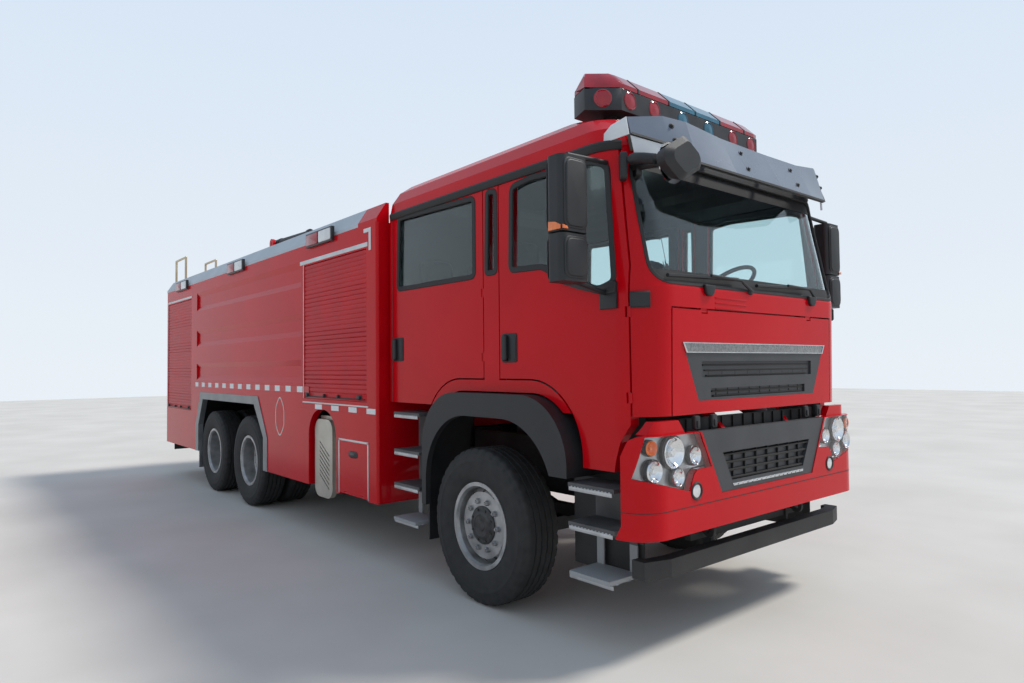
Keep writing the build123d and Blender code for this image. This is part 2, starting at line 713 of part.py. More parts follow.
# Light bar: a long lamp housing with chamfered ends, on two feet on the roof
bar_front = at(BAR_X + BAR_W / 2)
bar_back = at(BAR_X - BAR_W / 2)
with BuildPart() as light_bar:
    with BuildSketch(Plane.XY.offset(BAR_Z[0])):
        with BuildLine():
            front_half, back_half = BAR_HALF - BAR_ENDS[0], BAR_HALF - BAR_ENDS[1]
            Polyline([(bar_front, -front_half), (bar_front, front_half), (at(BAR_X), BAR_HALF),
                      (bar_back, back_half), (bar_back, -back_half), (at(BAR_X), -BAR_HALF)],
                     close=True)
        make_face()
    extrude(amount=BAR_Z[1] - BAR_Z[0])
    chamfer(light_bar.faces().sort_by(Axis.Z)[-1].edges(), BAR_CHAMFER)
    half_long, half_wide, high = BAR_FOOT
    for y in BAR_FEET:
        block(at(BAR_X - half_long), at(BAR_X + half_long), y - half_wide, y + half_wide, BAR_Z[0] - high,
              BAR_Z[0] + GAP)
    add(clear_cab, mode=Mode.SUBTRACT)
save(light_bar, "light_bar")

# Dashboard, with the steering column and wheel at the left
column = Plane(origin=(at(STEER[0]), STEER[1], STEER[2]), x_dir=(0, 1, 0), z_dir=(-0.55, 0, 0.835))
with BuildPart() as dashboard:
    add(prism(DASH, -DASH_HALF, DASH_HALF))
    with BuildSketch(column.offset(-COLUMN)):
        Circle(COLUMN_R)
    extrude(amount=COLUMN)
    with BuildSketch(Plane(origin=column.origin, x_dir=(0, 1, 0), z_dir=column.x_dir.cross(column.z_dir))):
        with Locations((STEER_R, 0)):
            Circle(STEER_RIM)
    revolve(axis=Axis(column.origin, column.z_dir))
    hub_r, hub_t, spoke_w = STEER_HUB
    with BuildSketch(column.offset(-hub_t / 2)):
        Rectangle(2 * STEER_R, spoke_w)
        Circle(hub_r)
    extrude(amount=hub_t)
    add(cab_solid(WALL + SEAT), mode=Mode.INTERSECT)
save(dashboard, "dashboard")

# Seats: two in front beside the engine tunnel, and the crew's bench along the rear wall
for name, places, width, rear, depth in (FRONT_SEATS, CREW_BENCH):
    foot_behind, foot_ahead, lip, thick, lean = SEAT_FORM
    under, cushion, back_top = SEAT_Z
    floor = CAB_Z + FLOOR_T + SEAT
    nose = rear + depth
    outline = [
        (rear + foot_behind, floor), (nose - foot_ahead, floor), (nose - foot_ahead, under),
        (nose, under + lip), (nose, cushion), (rear + thick, cushion - lip), (rear + lip, back_top),
        (rear - lean, back_top), (rear, under),
    ]
    with BuildPart() as seats:
        for y in places:
            add(prism(outline, y - width / 2, y + width / 2))
        rear, front, half, top = HUMP
        add(block_part(rear - GAP, front + GAP, -half - GAP, half + GAP, CAB_Z, top + GAP),
            mode=Mode.SUBTRACT)
        for side in SIDES:
            add(front_arch(side, GAP + ARCH_SKIN + SEAT, GAP + ARCH_SKIN + SEAT), mode=Mode.SUBTRACT)
    save(seats, name)

# Front panel: a lid in the cab's skin, hinged along its upper edge, cut out for its grille
grille_cut = [(-GRILLE_LOW[0], GRILLE_LOW[1]), (GRILLE_LOW[0], GRILLE_LOW[1]),
              (GRILLE_TOP[0], GRILLE_TOP[1]), (-GRILLE_TOP[0], GRILLE_TOP[1])]
grille_fit = [(y - SEAT * (1 if y > 0 else -1), z + SEAT * (1 if z == GRILLE_LOW[1] else -1))
              for y, z in grille_cut]
with BuildPart() as front_lid:
    add((cab_outer - cab_solid(LID_T)) & front_prism(lid_outline, *NOSE))
    add(front_prism(grille_cut, *NOSE), mode=Mode.SUBTRACT)
    behind, ahead, wide, half_high = LID_NOTCH
    for y in LID_HINGES:
        add(block_part(lid_axis[0] + behind, lid_axis[0] + ahead, y - wide / 2, y + wide / 2,
                       lid_axis[1] + 4 - half_high, lid_axis[1] + 4 + half_high), mode=Mode.SUBTRACT)
        with Locations(Location((at(lid_axis[0]), y, lid_axis[1]), (90, 0, 0))):
            Cylinder(HINGE_PIN_R + SEAT, HINGE_PIN_H + PIN_ROOM, mode=Mode.SUBTRACT)
save(front_lid, "front_lid")

with BuildPart() as upper_grille:
    add((cab_outer - cab_solid(GRILLE_T)) & front_prism(grille_fit, *NOSE))
    for z0, z1, half in GRILLE_SLOTS:
        add(front_prism([(-half, z0), (half, z0), (half, z1), (-half, z1)], *NOSE)
            - cab_solid(GRILLE_T / 2), mode=Mode.SUBTRACT)
save(upper_grille, "upper_grille")

# Chassis: two channel rails, with cross members, brackets and a tail bar bolted on
nose_rear, nose_low, nose_mid, nose_top = BRACKET_NOSE
pin_x, pin_z = PIVOT
bumper_back = BUMPER_X - BUMPER_T - SEAT
front_bracket = [
    (BRACKET_REAR, RAIL_TOP - 20), (BRACKET_REAR, BRACKET_FOOT), (nose_rear, BRACKET_FOOT),
    (nose_rear, UNDERRUN[3]), (UNDERRUN[0] - SEAT, UNDERRUN[3]), (UNDERRUN[0] - SEAT, nose_low),
    (bumper_back, nose_low), (bumper_back, nose_mid), (pin_x + 40, nose_top), (pin_x + 40, pin_z + 10),
    (pin_x + 15, pin_z + ARM_EYE_R), (pin_x - 15, pin_z + ARM_EYE_R), (pin_x - 45, pin_z),
    (pin_x - 45, RAIL_TOP - 20),
]
flange = RAIL_Y - RAIL_W
web = RAIL_Y - RAIL_T
rail_foot = RAIL_TOP - RAIL_H
bogie_middle = -WHEELBASE - BOGIE / 2
with BuildPart() as chassis_frame:
    for side in SIDES:
        with BuildSketch(Plane.YZ.offset(at(RAIL_REAR))):
            with BuildLine():
                Polyline([(side * y, z) for y, z in (
                    (RAIL_Y, rail_foot), (flange, rail_foot), (flange, rail_foot + RAIL_T),
                    (web, rail_foot + RAIL_T), (web, RAIL_TOP - RAIL_T), (flange, RAIL_TOP - RAIL_T),
                    (flange, RAIL_TOP), (RAIL_Y, RAIL_TOP))], close=True)
            make_face()
        extrude(amount=RAIL_FRONT - RAIL_REAR)
        add(prism(front_bracket, side * (RAIL_Y + SEAT), side * (RAIL_Y + BRACKET_T)))
        pin_end = RAIL_Y + BRACKET_T
        with Locations(Location((at(pin_x), side * (pin_end + PIVOT_Y - 5) / 2, pin_z), (90, 0, 0))):
            Cylinder(PIVOT_R, pin_end - PIVOT_Y + 5)
        block(at(CAB_POST[0]), at(CAB_POST[1]), side * (RAIL_Y + SEAT), side * (RAIL_Y + POST_T),
              RAIL_TOP - POST_DEEP, CAB_Z - SEAT)
        half_long, reach, fall = SADDLE
        block(at(bogie_middle - half_long), at(bogie_middle + half_long), side * (RAIL_Y + SEAT),
              side * (RAIL_Y + reach), SPRING_TOP + SEAT, RAIL_TOP - fall)
        long, thick, fall = TAIL_LEG
        block(at(RAIL_REAR), at(RAIL_REAR + long), side * (flange - SEAT), side * (flange - thick),
              TAIL_BAR_Z[0], RAIL_TOP - fall)
    for distance in CROSS:
        block(at(distance - CROSS_HALF), at(distance + CROSS_HALF), SEAT - web, web - SEAT,
              rail_foot + CROSS_IN, RAIL_TOP - CROSS_IN)
    block(at(RAIL_REAR), at(RAIL_REAR + TAIL_BAR_T), -TAIL_BAR_Y, TAIL_BAR_Y, TAIL_BAR_Z[0], TAIL_BAR_Z[1])
    boss_r, boss_long = HITCH_BOSS
    with Locations(Location((at(RAIL_REAR) + boss_long / 2, 0, HITCH_Z), (0, 90, 0))):
        Cylinder(boss_r, boss_long)
    with Locations((at(RAIL_REAR) - boss_long / 2, 0, HITCH_Z)):
        Box(HITCH_BLOCK[0], HITCH_BLOCK[1], HITCH_BLOCK[1])
        Cylinder(HITCH_R, 2 * HITCH_BLOCK[1], mode=Mode.SUBTRACT)
save(chassis_frame, "chassis_frame")

with BuildPart() as engine_block:
    block(at(ENGINE[0]), at(ENGINE[1]), -ENGINE[2], ENGINE[2], ENGINE[3], ENGINE[4])
    half_long, fall_low, fall_high = ENGINE_FOOT
    for x in ENGINE_FEET:
        block(at(x - half_long), at(x + half_long), SEAT - web, web - SEAT, RAIL_TOP - fall_low,
              RAIL_TOP - fall_high)
save(engine_block, "engine_block")

# Front axle: a beam that drops in the middle, with an eye for each kingpin
half_beam, beam_low, beam_top = BEAM
root, stop, eye_r = BEAM_EYE
eye_low, eye_top = KNUCKLE_Z
eye_h = eye_top - eye_low
with BuildPart() as front_axle:
    block(at(-half_beam), at(half_beam), -BEAM_END, BEAM_END, beam_low, beam_top)
    for side in SIDES:
        block(at(-half_beam), at(half_beam), side * (BEAM_END - root), side * (KINGPIN_Y - stop),
              eye_low, eye_top)
        with Locations((at(0), side * KINGPIN_Y, (eye_low + eye_top) / 2)):
            Cylinder(eye_r, eye_h)
            Cylinder(KINGPIN_R + SEAT, 2 * eye_h, mode=Mode.SUBTRACT)
save(front_axle, "front_axle")

# Leaf springs: one over each end of the front beam, one over the rear pair on each side
front_half = [(SPRING_LONG, SPRING_EYE), (SPRING_LONG - 60, 720), (SPRING_PAD, beam_top + SEAT)]
front_top = [(SPRING_LONG - 70, SPRING_EYE), (SPRING_PAD, beam_top + SPRING_T)]
front_spring = ([(-x, z) for x, z in front_half] + front_half[::-1] + front_top
                + [(-x, z) for x, z in reversed(front_top)])
low = TYRE_R + AXLE_R + SEAT
eye_top_z = low + SPRING_EYE_T
rear_half = [(-WHEELBASE - SPRING_FOOT[0], low), (-WHEELBASE + SPRING_FOOT[1], low),
             (-WHEELBASE + SPRING_FOOT[1], eye_top_z), (bogie_middle + SADDLE[0], SPRING_TOP)]
rear_spring = ([(bogie_middle, eye_top_z)] + rear_half
               + [(2 * bogie_middle - x, z) for x, z in reversed(rear_half)])
with BuildPart() as leaf_springs:
    for side in SIDES:
        add(prism(front_spring, side * (RAIL_Y - RAIL_W), side * (RAIL_Y - 2)))
        add(prism(rear_spring, side * (RAIL_Y + 8), side * (RAIL_Y + 8 + SPRING_W)))
save(leaf_springs, "leaf_springs")

# Rear axles: two housings with their gear cases, and the shaft that drives them
back_r, ahead_r, over_axle, over_foot = SHAFT
half_axle = [(0, AXLE_END), (AXLE_R, AXLE_END), *GEAR_CASE]
shaft_end = ENGINE[3] + over_foot
with BuildPart() as rear_axles:
    for distance in (-WHEELBASE, -WHEELBASE - BOGIE):
        add(turned(distance, 0, 1, half_axle + [(r, -y) for r, y in reversed(half_axle)]))
    with Locations(Location((at(bogie_middle), 0, TYRE_R + over_axle), (0, 90, 0))):
        Cylinder(back_r, BOGIE)
    add(tube((-WHEELBASE + 2 * ahead_r, 0, TYRE_R + over_axle), (ENGINE[0] + 20, 0, shaft_end), ahead_r))
    add(block_part(ENGINE[0] - SEAT, ENGINE[0] + FAR, -RAIL_Y, RAIL_Y, shaft_end - BOGIE, shaft_end + BOGIE),
        mode=Mode.SUBTRACT)
save(rear_axles, "rear_axles")

# Steering knuckles: two arms round the beam's eye, the kingpin, and the spindle
for side, side_name in zip(SIDES, SIDE_NAMES):
    with BuildPart() as knuckle:
        with Locations((at(0), side * KINGPIN_Y, TYRE_R)):
            Cylinder(KINGPIN_R, eye_h + 2 * FORK_T - 20)
        for z0, z1 in ((eye_low - FORK_T, eye_low - SEAT), (eye_top + SEAT, eye_top + FORK_T)):
            with Locations((at(0), side * KINGPIN_Y, (z0 + z1) / 2)):
                Cylinder(FORK_R, z1 - z0)
            block(at(-FORK_R), at(FORK_R), side * KINGPIN_Y, side * (KINGPIN_Y + FORK_OUT), z0, z1)
        block(at(-FLANGE_HALF), at(FLANGE_HALF), side * (KINGPIN_Y + FORK_OUT - FLANGE_T),
              side * (KINGPIN_Y + FORK_OUT), eye_low - FORK_T, eye_top + FORK_T)
        add(turned(0, side * (KINGPIN_Y + SPINDLE_ROOT), side, [
            (0, 0), (COLLAR[0], 0), (COLLAR[0], COLLAR[1]), (SPINDLE_R, COLLAR[2]), (SPINDLE_R, SPINDLE),
            (0, SPINDLE)]))
    save(knuckle, f"knuckle_{side_name}")

# Tyres and wheels
tyre_low = RIM_R + TYRE_ROOM
half = TYRE_W / 2
bead = RIM_W / 2 - FLANGE_W + 3
half_rim = RIM_W / 2 + 3
tyre_outline = [(BEAD_R, -bead), (tyre_low, -bead), (tyre_low + 12, -bead - 8)]
tyre_outline += [(radius, inwards - half) for radius, inwards in WALL_FORM]
tyre_outline += [(radius, -y) for radius, y in reversed(tyre_outline)]
rim_edge = [(RIM_R, half_rim), (RIM_R, bead + SEAT), (BEAD_R - SEAT, bead + SEAT),
            (BEAD_R - SEAT, -bead - SEAT), (RIM_R, -bead - SEAT), (RIM_R, -half_rim),
            (BARREL_R + 10, -half_rim), (BARREL_R, -RIM_W / 2 + LEDGE)]


def wheel(distance, y, side, flat, form):
    """A rim with its vented disc, whose flat part stands this far out, or in, from the rim's middle."""
    flat_r, fall, vent_r, vent_circle, vents = form
    foot = flat - fall if flat > 0 else flat + fall
    outline = rim_edge + [
        (BARREL_R, foot), (flat_r, flat), (HUB_R - 20, flat), (HUB_R - 20, flat + DISC_T),
        (flat_r + 6, flat + DISC_T), (BARREL_R, foot + 1.4 * DISC_T), (BARREL_R, RIM_W / 2 - LEDGE),
        (BARREL_R + 10, half_rim),
    ]
    with BuildPart() as solid:
        add(turned(distance, y, side, outline))
        with Locations(Location((at(distance), y + side * (flat + foot) / 2, TYRE_R), (90, 0, 0))):
            with PolarLocations(vent_circle / 2, vents):
                Cylinder(vent_r, 2 * fall, mode=Mode.SUBTRACT)
    return solid.part


for side, side_name in zip(SIDES, SIDE_NAMES):
    save(turned(0, side * TRACK_Y, side, tyre_outline), f"front_tyre_{side_name}")
    hub = turned(0, side * TRACK_Y, side, [
        (SPINDLE_R + SEAT, HUB_IN), (HUB_R, HUB_IN), (HUB_R, HUB_OUT - HUB_BEVEL),
        (HUB_R - HUB_BEVEL, HUB_OUT), (0, HUB_OUT), (0, HUB_BORE), (SPINDLE_R + SEAT, HUB_BORE)])
    save(wheel(0, side * TRACK_Y, side, FRONT_DISC, FRONT_FORM) + hub, f"front_wheel_{side_name}")

for axle_name, distance in (("middle", -WHEELBASE), ("rear", -WHEELBASE - BOGIE)):
    for side, side_name in zip(SIDES, SIDE_NAMES):
        outer_y = side * TRACK_Y
        inner_y = side * (TRACK_Y - TWIN)
        tyres = turned(distance, outer_y, side, tyre_outline) + turned(distance, inner_y, side, tyre_outline)
        save(tyres, f"{axle_name}_tyres_{side_name}")
        drum_end, cap_start, cap_end, bore_end = REAR_HUB
        hub = turned(distance, side * (TRACK_Y - TWIN / 2), side, [
            (AXLE_R + SEAT, drum_end), (DRUM_R, drum_end), (DRUM_R, -DISC_T), (HUB_R, -DISC_T),
            (HUB_R, cap_start), (HUB_R - (cap_end - cap_start), cap_end), (0, cap_end), (0, bore_end),
            (AXLE_R + SEAT, bore_end)])
        twin = (wheel(distance, outer_y, side, DISC_T - TWIN / 2, REAR_FORM)
                + wheel(distance, inner_y, side, TWIN / 2 - DISC_T, REAR_FORM) + hub)
        save(twin, f"{axle_name}_wheels_{side_name}")

# Bumper: a bent band round the front, cut out for its grille and lamps
lamp_outline = [(-1178, 1246), (-745, 1246), (-640, 1044), (-775, 1040), (-812, 1012), (-850, 925),
                (-1226, 1022)]
low_grille_outline = [(-730, 1250), (730, 1250), (540, 880), (-540, 880)]


def bumper_solid(inset):
    """The bumper's outer form with its corner panels, shrunk by the inset at the front and sides."""
    with BuildPart() as solid:
        with BuildSketch(Plane.XY.offset(BUMPER_Z[0])):
            with Locations((at((BUMPER_X - inset + BUMPER_REAR) / 2), 0)):
                box = Rectangle(BUMPER_X - inset - BUMPER_REAR, 2 * (BUMPER_Y - inset))
            fillet(box.vertices().group_by(Axis.X)[-1], BUMPER_R - inset)
        extrude(amount=CAB_Z - BUMPER_Z[0])
    return solid.part


mirrored_lamp = [(-y, z) for y, z in lamp_outline]
above_bumper = block_part(0, LONG, -FAR, FAR, BUMPER_Z[1], CAB_Z + GAP)
with BuildPart() as bumper:
    add(bumper_solid(0) - bumper_solid(BUMPER_T) - above_bumper)
    for side in SIDES:
        add((bumper_solid(PANEL_IN[0]) - bumper_solid(PANEL_IN[1]))
            & front_prism([(side * y, z) for y, z in CORNER_PANEL], *BUMPER_CUT))
    for outline in (lamp_outline, mirrored_lamp):
        add(front_prism(outline, *BUMPER_CUT), mode=Mode.SUBTRACT)
    add(front_prism(low_grille_outline, *BUMPER_CUT), mode=Mode.SUBTRACT)
    add(prism(BUMPER_BACK, -FAR, FAR), mode=Mode.SUBTRACT)
save(bumper, "bumper")
headlamps = bumper_solid(LAMP_IN) - bumper_solid(LAMP_T) - prism(BUMPER_BACK, -FAR, FAR)
save((headlamps & front_prism(shrunk(lamp_outline), *BUMPER_CUT))
     + (headlamps & front_prism(shrunk(mirrored_lamp), *BUMPER_CUT)), "headlamps")
with BuildPart() as lower_grille:
    add((bumper_solid(GRILLE_IN) - bumper_solid(BUMPER_T))
        & front_prism(shrunk(low_grille_outline), *BUMPER_CUT))
    (half_high, z1), (half_low, z0) = LOW_MOUTH
    add(front_prism([(-half_low, z0), (half_low, z0), (half_high, z1), (-half_high, z1)],
                    BUMPER_X - MOUTH_IN, BUMPER_X), mode=Mode.SUBTRACT)
save(lower_grille, "lower_grille")

with BuildPart() as underrun_bar:
    with BuildSketch(Plane.XY.offset(UNDERRUN[3])):
        with BuildLine():
            rear, front, half, low, top = UNDERRUN
            back, tip, sweep = UNDERRUN_END
            half_bar = [(front, half), (front - sweep, tip), (back, tip), (back, tip - UNDERRUN_T),
                        (rear - sweep / 2, tip - UNDERRUN_T), (rear, half - sweep / 2)]
            Polyline([(at(x), y) for x, y in half_bar]
                     + [(at(x), -y) for x, y in reversed(half_bar)], close=True)
        make_face()
    extrude(amount=top - low)
save(underrun_bar, "underrun_bar")

# Steps under the doors: a back plate, open treads, a stirrup on two straps, and a beam from the frame
half_beam, beam_low, beam_top = STEP_BEAM
with BuildPart() as cab_steps:
    inner = STEP_Y - STEP_DEEP
    strap_y = inner + STIRRUP_OUT
    for side in SIDES:
        for rear, front, heights in (FRONT_STEPS, REAR_STEPS):
            block(at(rear), at(front), side * inner, side * (inner + PLATE_T), heights[1] - STEP_PLATE_FOOT,
                  heights[-1] + TREAD_T)
            for z in heights[1:]:
                block(at(rear), at(front), side * STEP_Y, side * (inner + PLATE_T + SEAT), z, z + TREAD_T)
            low = heights[0]
            block(at(rear + STIRRUP_IN), at(front - STIRRUP_IN), side * (STEP_Y + STIRRUP_OUT),
                  side * strap_y, low, low + TREAD_T)
            for x in (rear + STIRRUP_IN, front - STIRRUP_IN - STRAP_W):
                block(at(x), at(x + STRAP_W), side * strap_y, side * (strap_y + PLATE_T),
                      low + TREAD_T + SEAT, heights[1] - SEAT)
            middle = (rear + front) / 2
            block(at(middle - half_beam), at(middle + half_beam), side * (inner - SEAT),
                  side * (RAIL_Y + SEAT), beam_low, beam_top)
save(cab_steps, "cab_steps")

# Front wheel flares: a face plate, a liner behind it, and a mud flap
rear, front, top, radius = FLARE_OUT
with BuildPart() as front_flares:
    for side in SIDES:
        for inner, y0, y1 in (
            (FLARE_IN, FLARE_Y, FLARE_Y - FLARE_T),
            ((rear + LINER_T, front - LINER_T, top - LINER_T, radius - LINER_T), FLARE_Y - FLARE_T, LINER_Y),
        ):
            with BuildSketch(Plane.XZ.offset(-side * y0)):
                add(arch_sketch(*FLARE_OUT))
                add(arch_sketch(*inner), mode=Mode.SUBTRACT)
                for x, floor in ((rear, FLARE_Z), (front, FLARE_FRONT_Z)):
                    with Locations((at(x), floor / 2)):
                        Rectangle(front - rear - 2 * LINER_T, floor, mode=Mode.SUBTRACT)
            extrude(amount=side * (y0 - y1))
        block(at(rear), at(rear + FLAP_T), side * (FLARE_Y - FLAP_IN[0]), side * (LINER_Y + FLAP_IN[1]),
              FLAP_Z, FLARE_Z + FLAP_IN[1])
        for x0, x1, low in FLARE_ARMS:
            block(at(x0), at(x1), side * LINER_Y, side * (RAIL_Y + SEAT), low, low + FLARE_ARM_H)
save(front_flares, "front_flares")

# Body: a closed box on a centre beam, over lower side boxes with arches, bays and lockers, seams between
with BuildPart() as body_shell:
    block(at(BODY_REAR), at(BODY_FRONT), -BODY_Y, BODY_Y, BODY_Z, BODY_TOP)
    fillet(body_shell.edges().filter_by(Axis.Z), BODY_R)
    add(block_part(-LONG, LONG, -TUNNEL_Y, TUNNEL_Y, 0, RAIL_TOP + SEAT), mode=Mode.SUBTRACT)
    for side in SIDES:
        arch = prism([(ARCH[0], 0), (ARCH[0], ARCH_BEND), (ARCH[1], ARCH_TOP), (ARCH[2], ARCH_TOP),
                      (ARCH[3], ARCH_BEND), (ARCH[3], 0)], side * FAR, side * BAY_IN)
        add(arch, mode=Mode.SUBTRACT)
        add(arch_solid(*BAY, side * FAR, side * BAY_IN), mode=Mode.SUBTRACT)
        for z0, z1 in GROOVES:
            floor_y = side * (BODY_Y - GROOVE_T)
            add(front_prism([(side * FAR, z0), (side * BODY_Y, z0), (floor_y, z0 + GROOVE_SLOPE),
                             (floor_y, z1 - GROOVE_SLOPE), (side * BODY_Y, z1), (side * FAR, z1)], *GROOVE_X),
                mode=Mode.SUBTRACT)
        for x0, x1, z0, z1 in (FRONT_SHUTTER, REAR_SHUTTER):
            add(prism([(x0, z0), (x1, z0), (x1, z1), (x0, z1)], side * FAR, side * (BODY_Y - SHUTTER_DEEP)),
                mode=Mode.SUBTRACT)
        x0, x1, z0, z1 = LOCKER
        seam = GAP / 2
        add(prism([(x0 - seam, 0), (x1 + seam, 0), (x1 + seam, z1 + seam), (x0 - seam, z1 + seam)],
                  side * FAR, side * (BODY_Y - LOCKER_T - LOCKER_ROOM)), mode=Mode.SUBTRACT)
        edge = LOCKER_EDGE
        add(prism([(x0 + edge, z0 + edge), (x1 - edge, z0 + edge), (x1 - edge, z1 - edge),
                   (x0 + edge, z1 - edge)], side * FAR, side * (BODY_Y - LOCKER_DEEP)), mode=Mode.SUBTRACT)
        for x in LOCKER_HINGES:
            with Locations(Location((at(x), side * (BODY_Y - HINGE_IN), z0 + HINGE_IN), (0, 90, 0))):
                Cylinder(HINGE_R, HINGE_H - 2 * SEAT)
                Cylinder(HINGE_PIN_R, HINGE_PIN_H)
            block(at(x - HINGE_H / 2 + SEAT), at(x + HINGE_H / 2 - SEAT),
                  side * (BODY_Y - LOCKER_T - LUG_FOOT), side * (BODY_Y - HINGE_IN), z0 + 2,
                  z0 + 2 * HINGE_IN - 2)
    half_tail, z0, z1 = TAIL_SHUTTER
    tail_cut = front_prism([(-half_tail, z0), (half_tail, z0), (half_tail, z1), (-half_tail, z1)],
                           BODY_REAR - 50, BODY_REAR + SHUTTER_DEEP)
    add(tail_cut, mode=Mode.SUBTRACT)
    beyond = FAR / 10
    for side in SIDES:
        add(front_prism(rail_profile(side), CAP_REAR, BODY_FRONT))
        add(block_part(BODY_REAR - beyond, BODY_FRONT + beyond, side * (TUNNEL_Y - SEAT), side * TUNNEL_Y,
                       RAIL_TOP, ARCH_TOP), mode=Mode.SUBTRACT)
    add(block_part(-LONG, LONG, -FAR, FAR, ARCH_TOP, ARCH_TOP + SEAT), mode=Mode.SUBTRACT)
save(body_shell, "body_shell")

with BuildPart() as top_rails:
    for side in SIDES:
        add(front_prism([(y, z + SEAT) for y, z in rail_profile(side)], BODY_REAR, CAP_REAR - SEAT))
save(top_rails, "top_rails")

# Roller shutters: ribbed curtains of narrow slats, two in each side and one in the tail
with BuildPart() as roller_shutters:
    for side in SIDES:
        for x0, x1, z0, z1 in (FRONT_SHUTTER, REAR_SHUTTER):
            start = x0 if side == 1 else x1
            add(curtain(z0, z1, x1 - x0, Plane(origin=(at(start), side * (BODY_Y - SHUTTER_DEEP), 0),
                                               x_dir=(0, side, 0), z_dir=(side, 0, 0))))
    half_tail, z0, z1 = TAIL_SHUTTER
    add(curtain(z0, z1, 2 * half_tail, Plane(origin=(at(BODY_REAR + SHUTTER_DEEP), -half_tail, 0),
                                             x_dir=(-1, 0, 0), z_dir=(0, 1, 0))))
save(roller_shutters, "roller_shutters")

# Locker doors: flaps hinged along their lower edge
for side, side_name in zip(SIDES, SIDE_NAMES):
    x0, x1, z0, z1 = LOCKER
    with BuildPart() as locker_door:
        add(prism([(x0, z0), (x1, z0), (x1, z1), (x0, z1)], side * BODY_Y, side * (BODY_Y - LOCKER_T)))
        long, deep, high, fall = LOCKER_CUP
        with Locations((at((x0 + x1) / 2), side * BODY_Y, z1 - fall)):
            Box(long, 2 * deep, high, mode=Mode.SUBTRACT)
        for x in LOCKER_HINGES:
            with Locations((at(x), side * (BODY_Y - LOCKER_T / 2), z0)):
                Box(HINGE_H, *LOCKER_NOTCH, mode=Mode.SUBTRACT)
            with Locations(Location((at(x), side * (BODY_Y - HINGE_IN), z0 + HINGE_IN), (0, 90, 0))):
                Cylinder(HINGE_PIN_R + SEAT, HINGE_PIN_H + PIN_ROOM, mode=Mode.SUBTRACT)
    save(locker_door, f"locker_door_{side_name}")

# Trims round the rear arches: five bent strips with thin joints, and a mud flap behind the wheels
arch_path = [(ARCH[0], BODY_Z), (ARCH[0], ARCH_BEND), (ARCH[1], ARCH_TOP), (ARCH[2], ARCH_TOP),
             (ARCH[3], ARCH_BEND), (ARCH[3], BODY_Z)]


def moved_in(margin, rise):
    """The arch's outline, moved in by a margin at the ends and by a rise at the top."""
    signs = (1, 1, 1, -1, -1, -1)
    return [(x + sign * margin, z - (rise if z == ARCH_TOP else 0)) for (x, z), sign in zip(arch_path, signs)]


band_path = moved_in(-TRIM_W, -0.75 * TRIM_W)
hole_path = moved_in(LINING_T, LINING_T)
with BuildPart() as arch_trims:
    for side in SIDES:
        band = prism(band_path, side * (BODY_Y + TRIM_PROUD), side * (BODY_Y + SEAT))
        lining = prism(moved_in(SEAT, SEAT), side * (BODY_Y + TRIM_PROUD), side * (BODY_Y - TRIM_IN))
        add(band + lining - prism([(x, z - (z == BODY_Z)) for x, z in hole_path], side * FAR,
                                  side * (BODY_Y - TRIM_IN - GAP)))
        block(at(ARCH[0] + SEAT), at(ARCH[0] + FLAP_T), side * (BODY_Y - GAP), side * REAR_FLAP[0],
              REAR_FLAP[1], REAR_FLAP[2])
        for (x0, z0), (x1, z1) in zip(hole_path[1:-1], band_path[1:-1]):
            across = Vector(z1 - z0, x0 - x1).normalized() * SEAT / 2
            add(prism([(x0 + across.X, z0 + across.Y), (x1 + across.X, z1 + across.Y),
                       (x1 - across.X, z1 - across.Y), (x0 - across.X, z0 - across.Y)],
                      side * FAR, side * (BODY_Y - 2 * TRIM_IN)), mode=Mode.SUBTRACT)
save(arch_trims, "arch_trims")

# Silencer: a black can behind a cover with rounded corners and slanted slots, on an arm from the frame
with BuildPart() as silencer_cover:
    rear, front, bottom, top = SILENCER
    with BuildSketch(Plane.XZ.offset(BODY_Y - COVER_IN)):
        with Locations((at((rear + front) / 2), (bottom + top) / 2)):
            RectangleRounded(front - rear, top - bottom, COVER_R)
    extrude(amount=-(CAN_IN - COVER_IN))
    block(at(CAN[0]), at(CAN[1]), -(BODY_Y - CAN_IN + 5), -(BODY_Y - CAN_DEEP), CAN[2], CAN[3])
    can_edges = silencer_cover.edges().filter_by(Axis.Y)
    fillet(can_edges.filter_by_position(Axis.X, at(CAN[1]) - 1, at(CAN[1]) + 1), CAN_R)
    start, end, fall, wide = LOUVRE
    for z in LOUVRES:
        add(prism([(rear + start, z), (rear + start, z - wide), (rear + end, z - wide - fall),
                   (rear + end, z - fall)], -FAR, -(BODY_Y - COVER_IN - LOUVRE_DEEP)), mode=Mode.SUBTRACT)
    x0, x1, z0, z1 = CAN_ARM
    block(at(x0), at(x1), -(BODY_Y - CAN_DEEP), -(RAIL_Y + SEAT), z0, z1)
save(silencer_cover, "silencer_cover")

with BuildPart() as fuel_tank:
    block(at(TANK[0]), at(TANK[1]), *TANK_Y, TANK[2], TANK[3])
    fillet(fuel_tank.edges().filter_by(Axis.X), TANK_R)
    wide, z0, z1 = TANK_ARM
    for x in TANK_BANDS:
        block(at(x - wide / 2), at(x + wide / 2), RAIL_Y + SEAT, TANK_Y[0] + TANK_R, TANK[2] + z0,
              TANK[2] + z1)
save(fuel_tank, "fuel_tank")

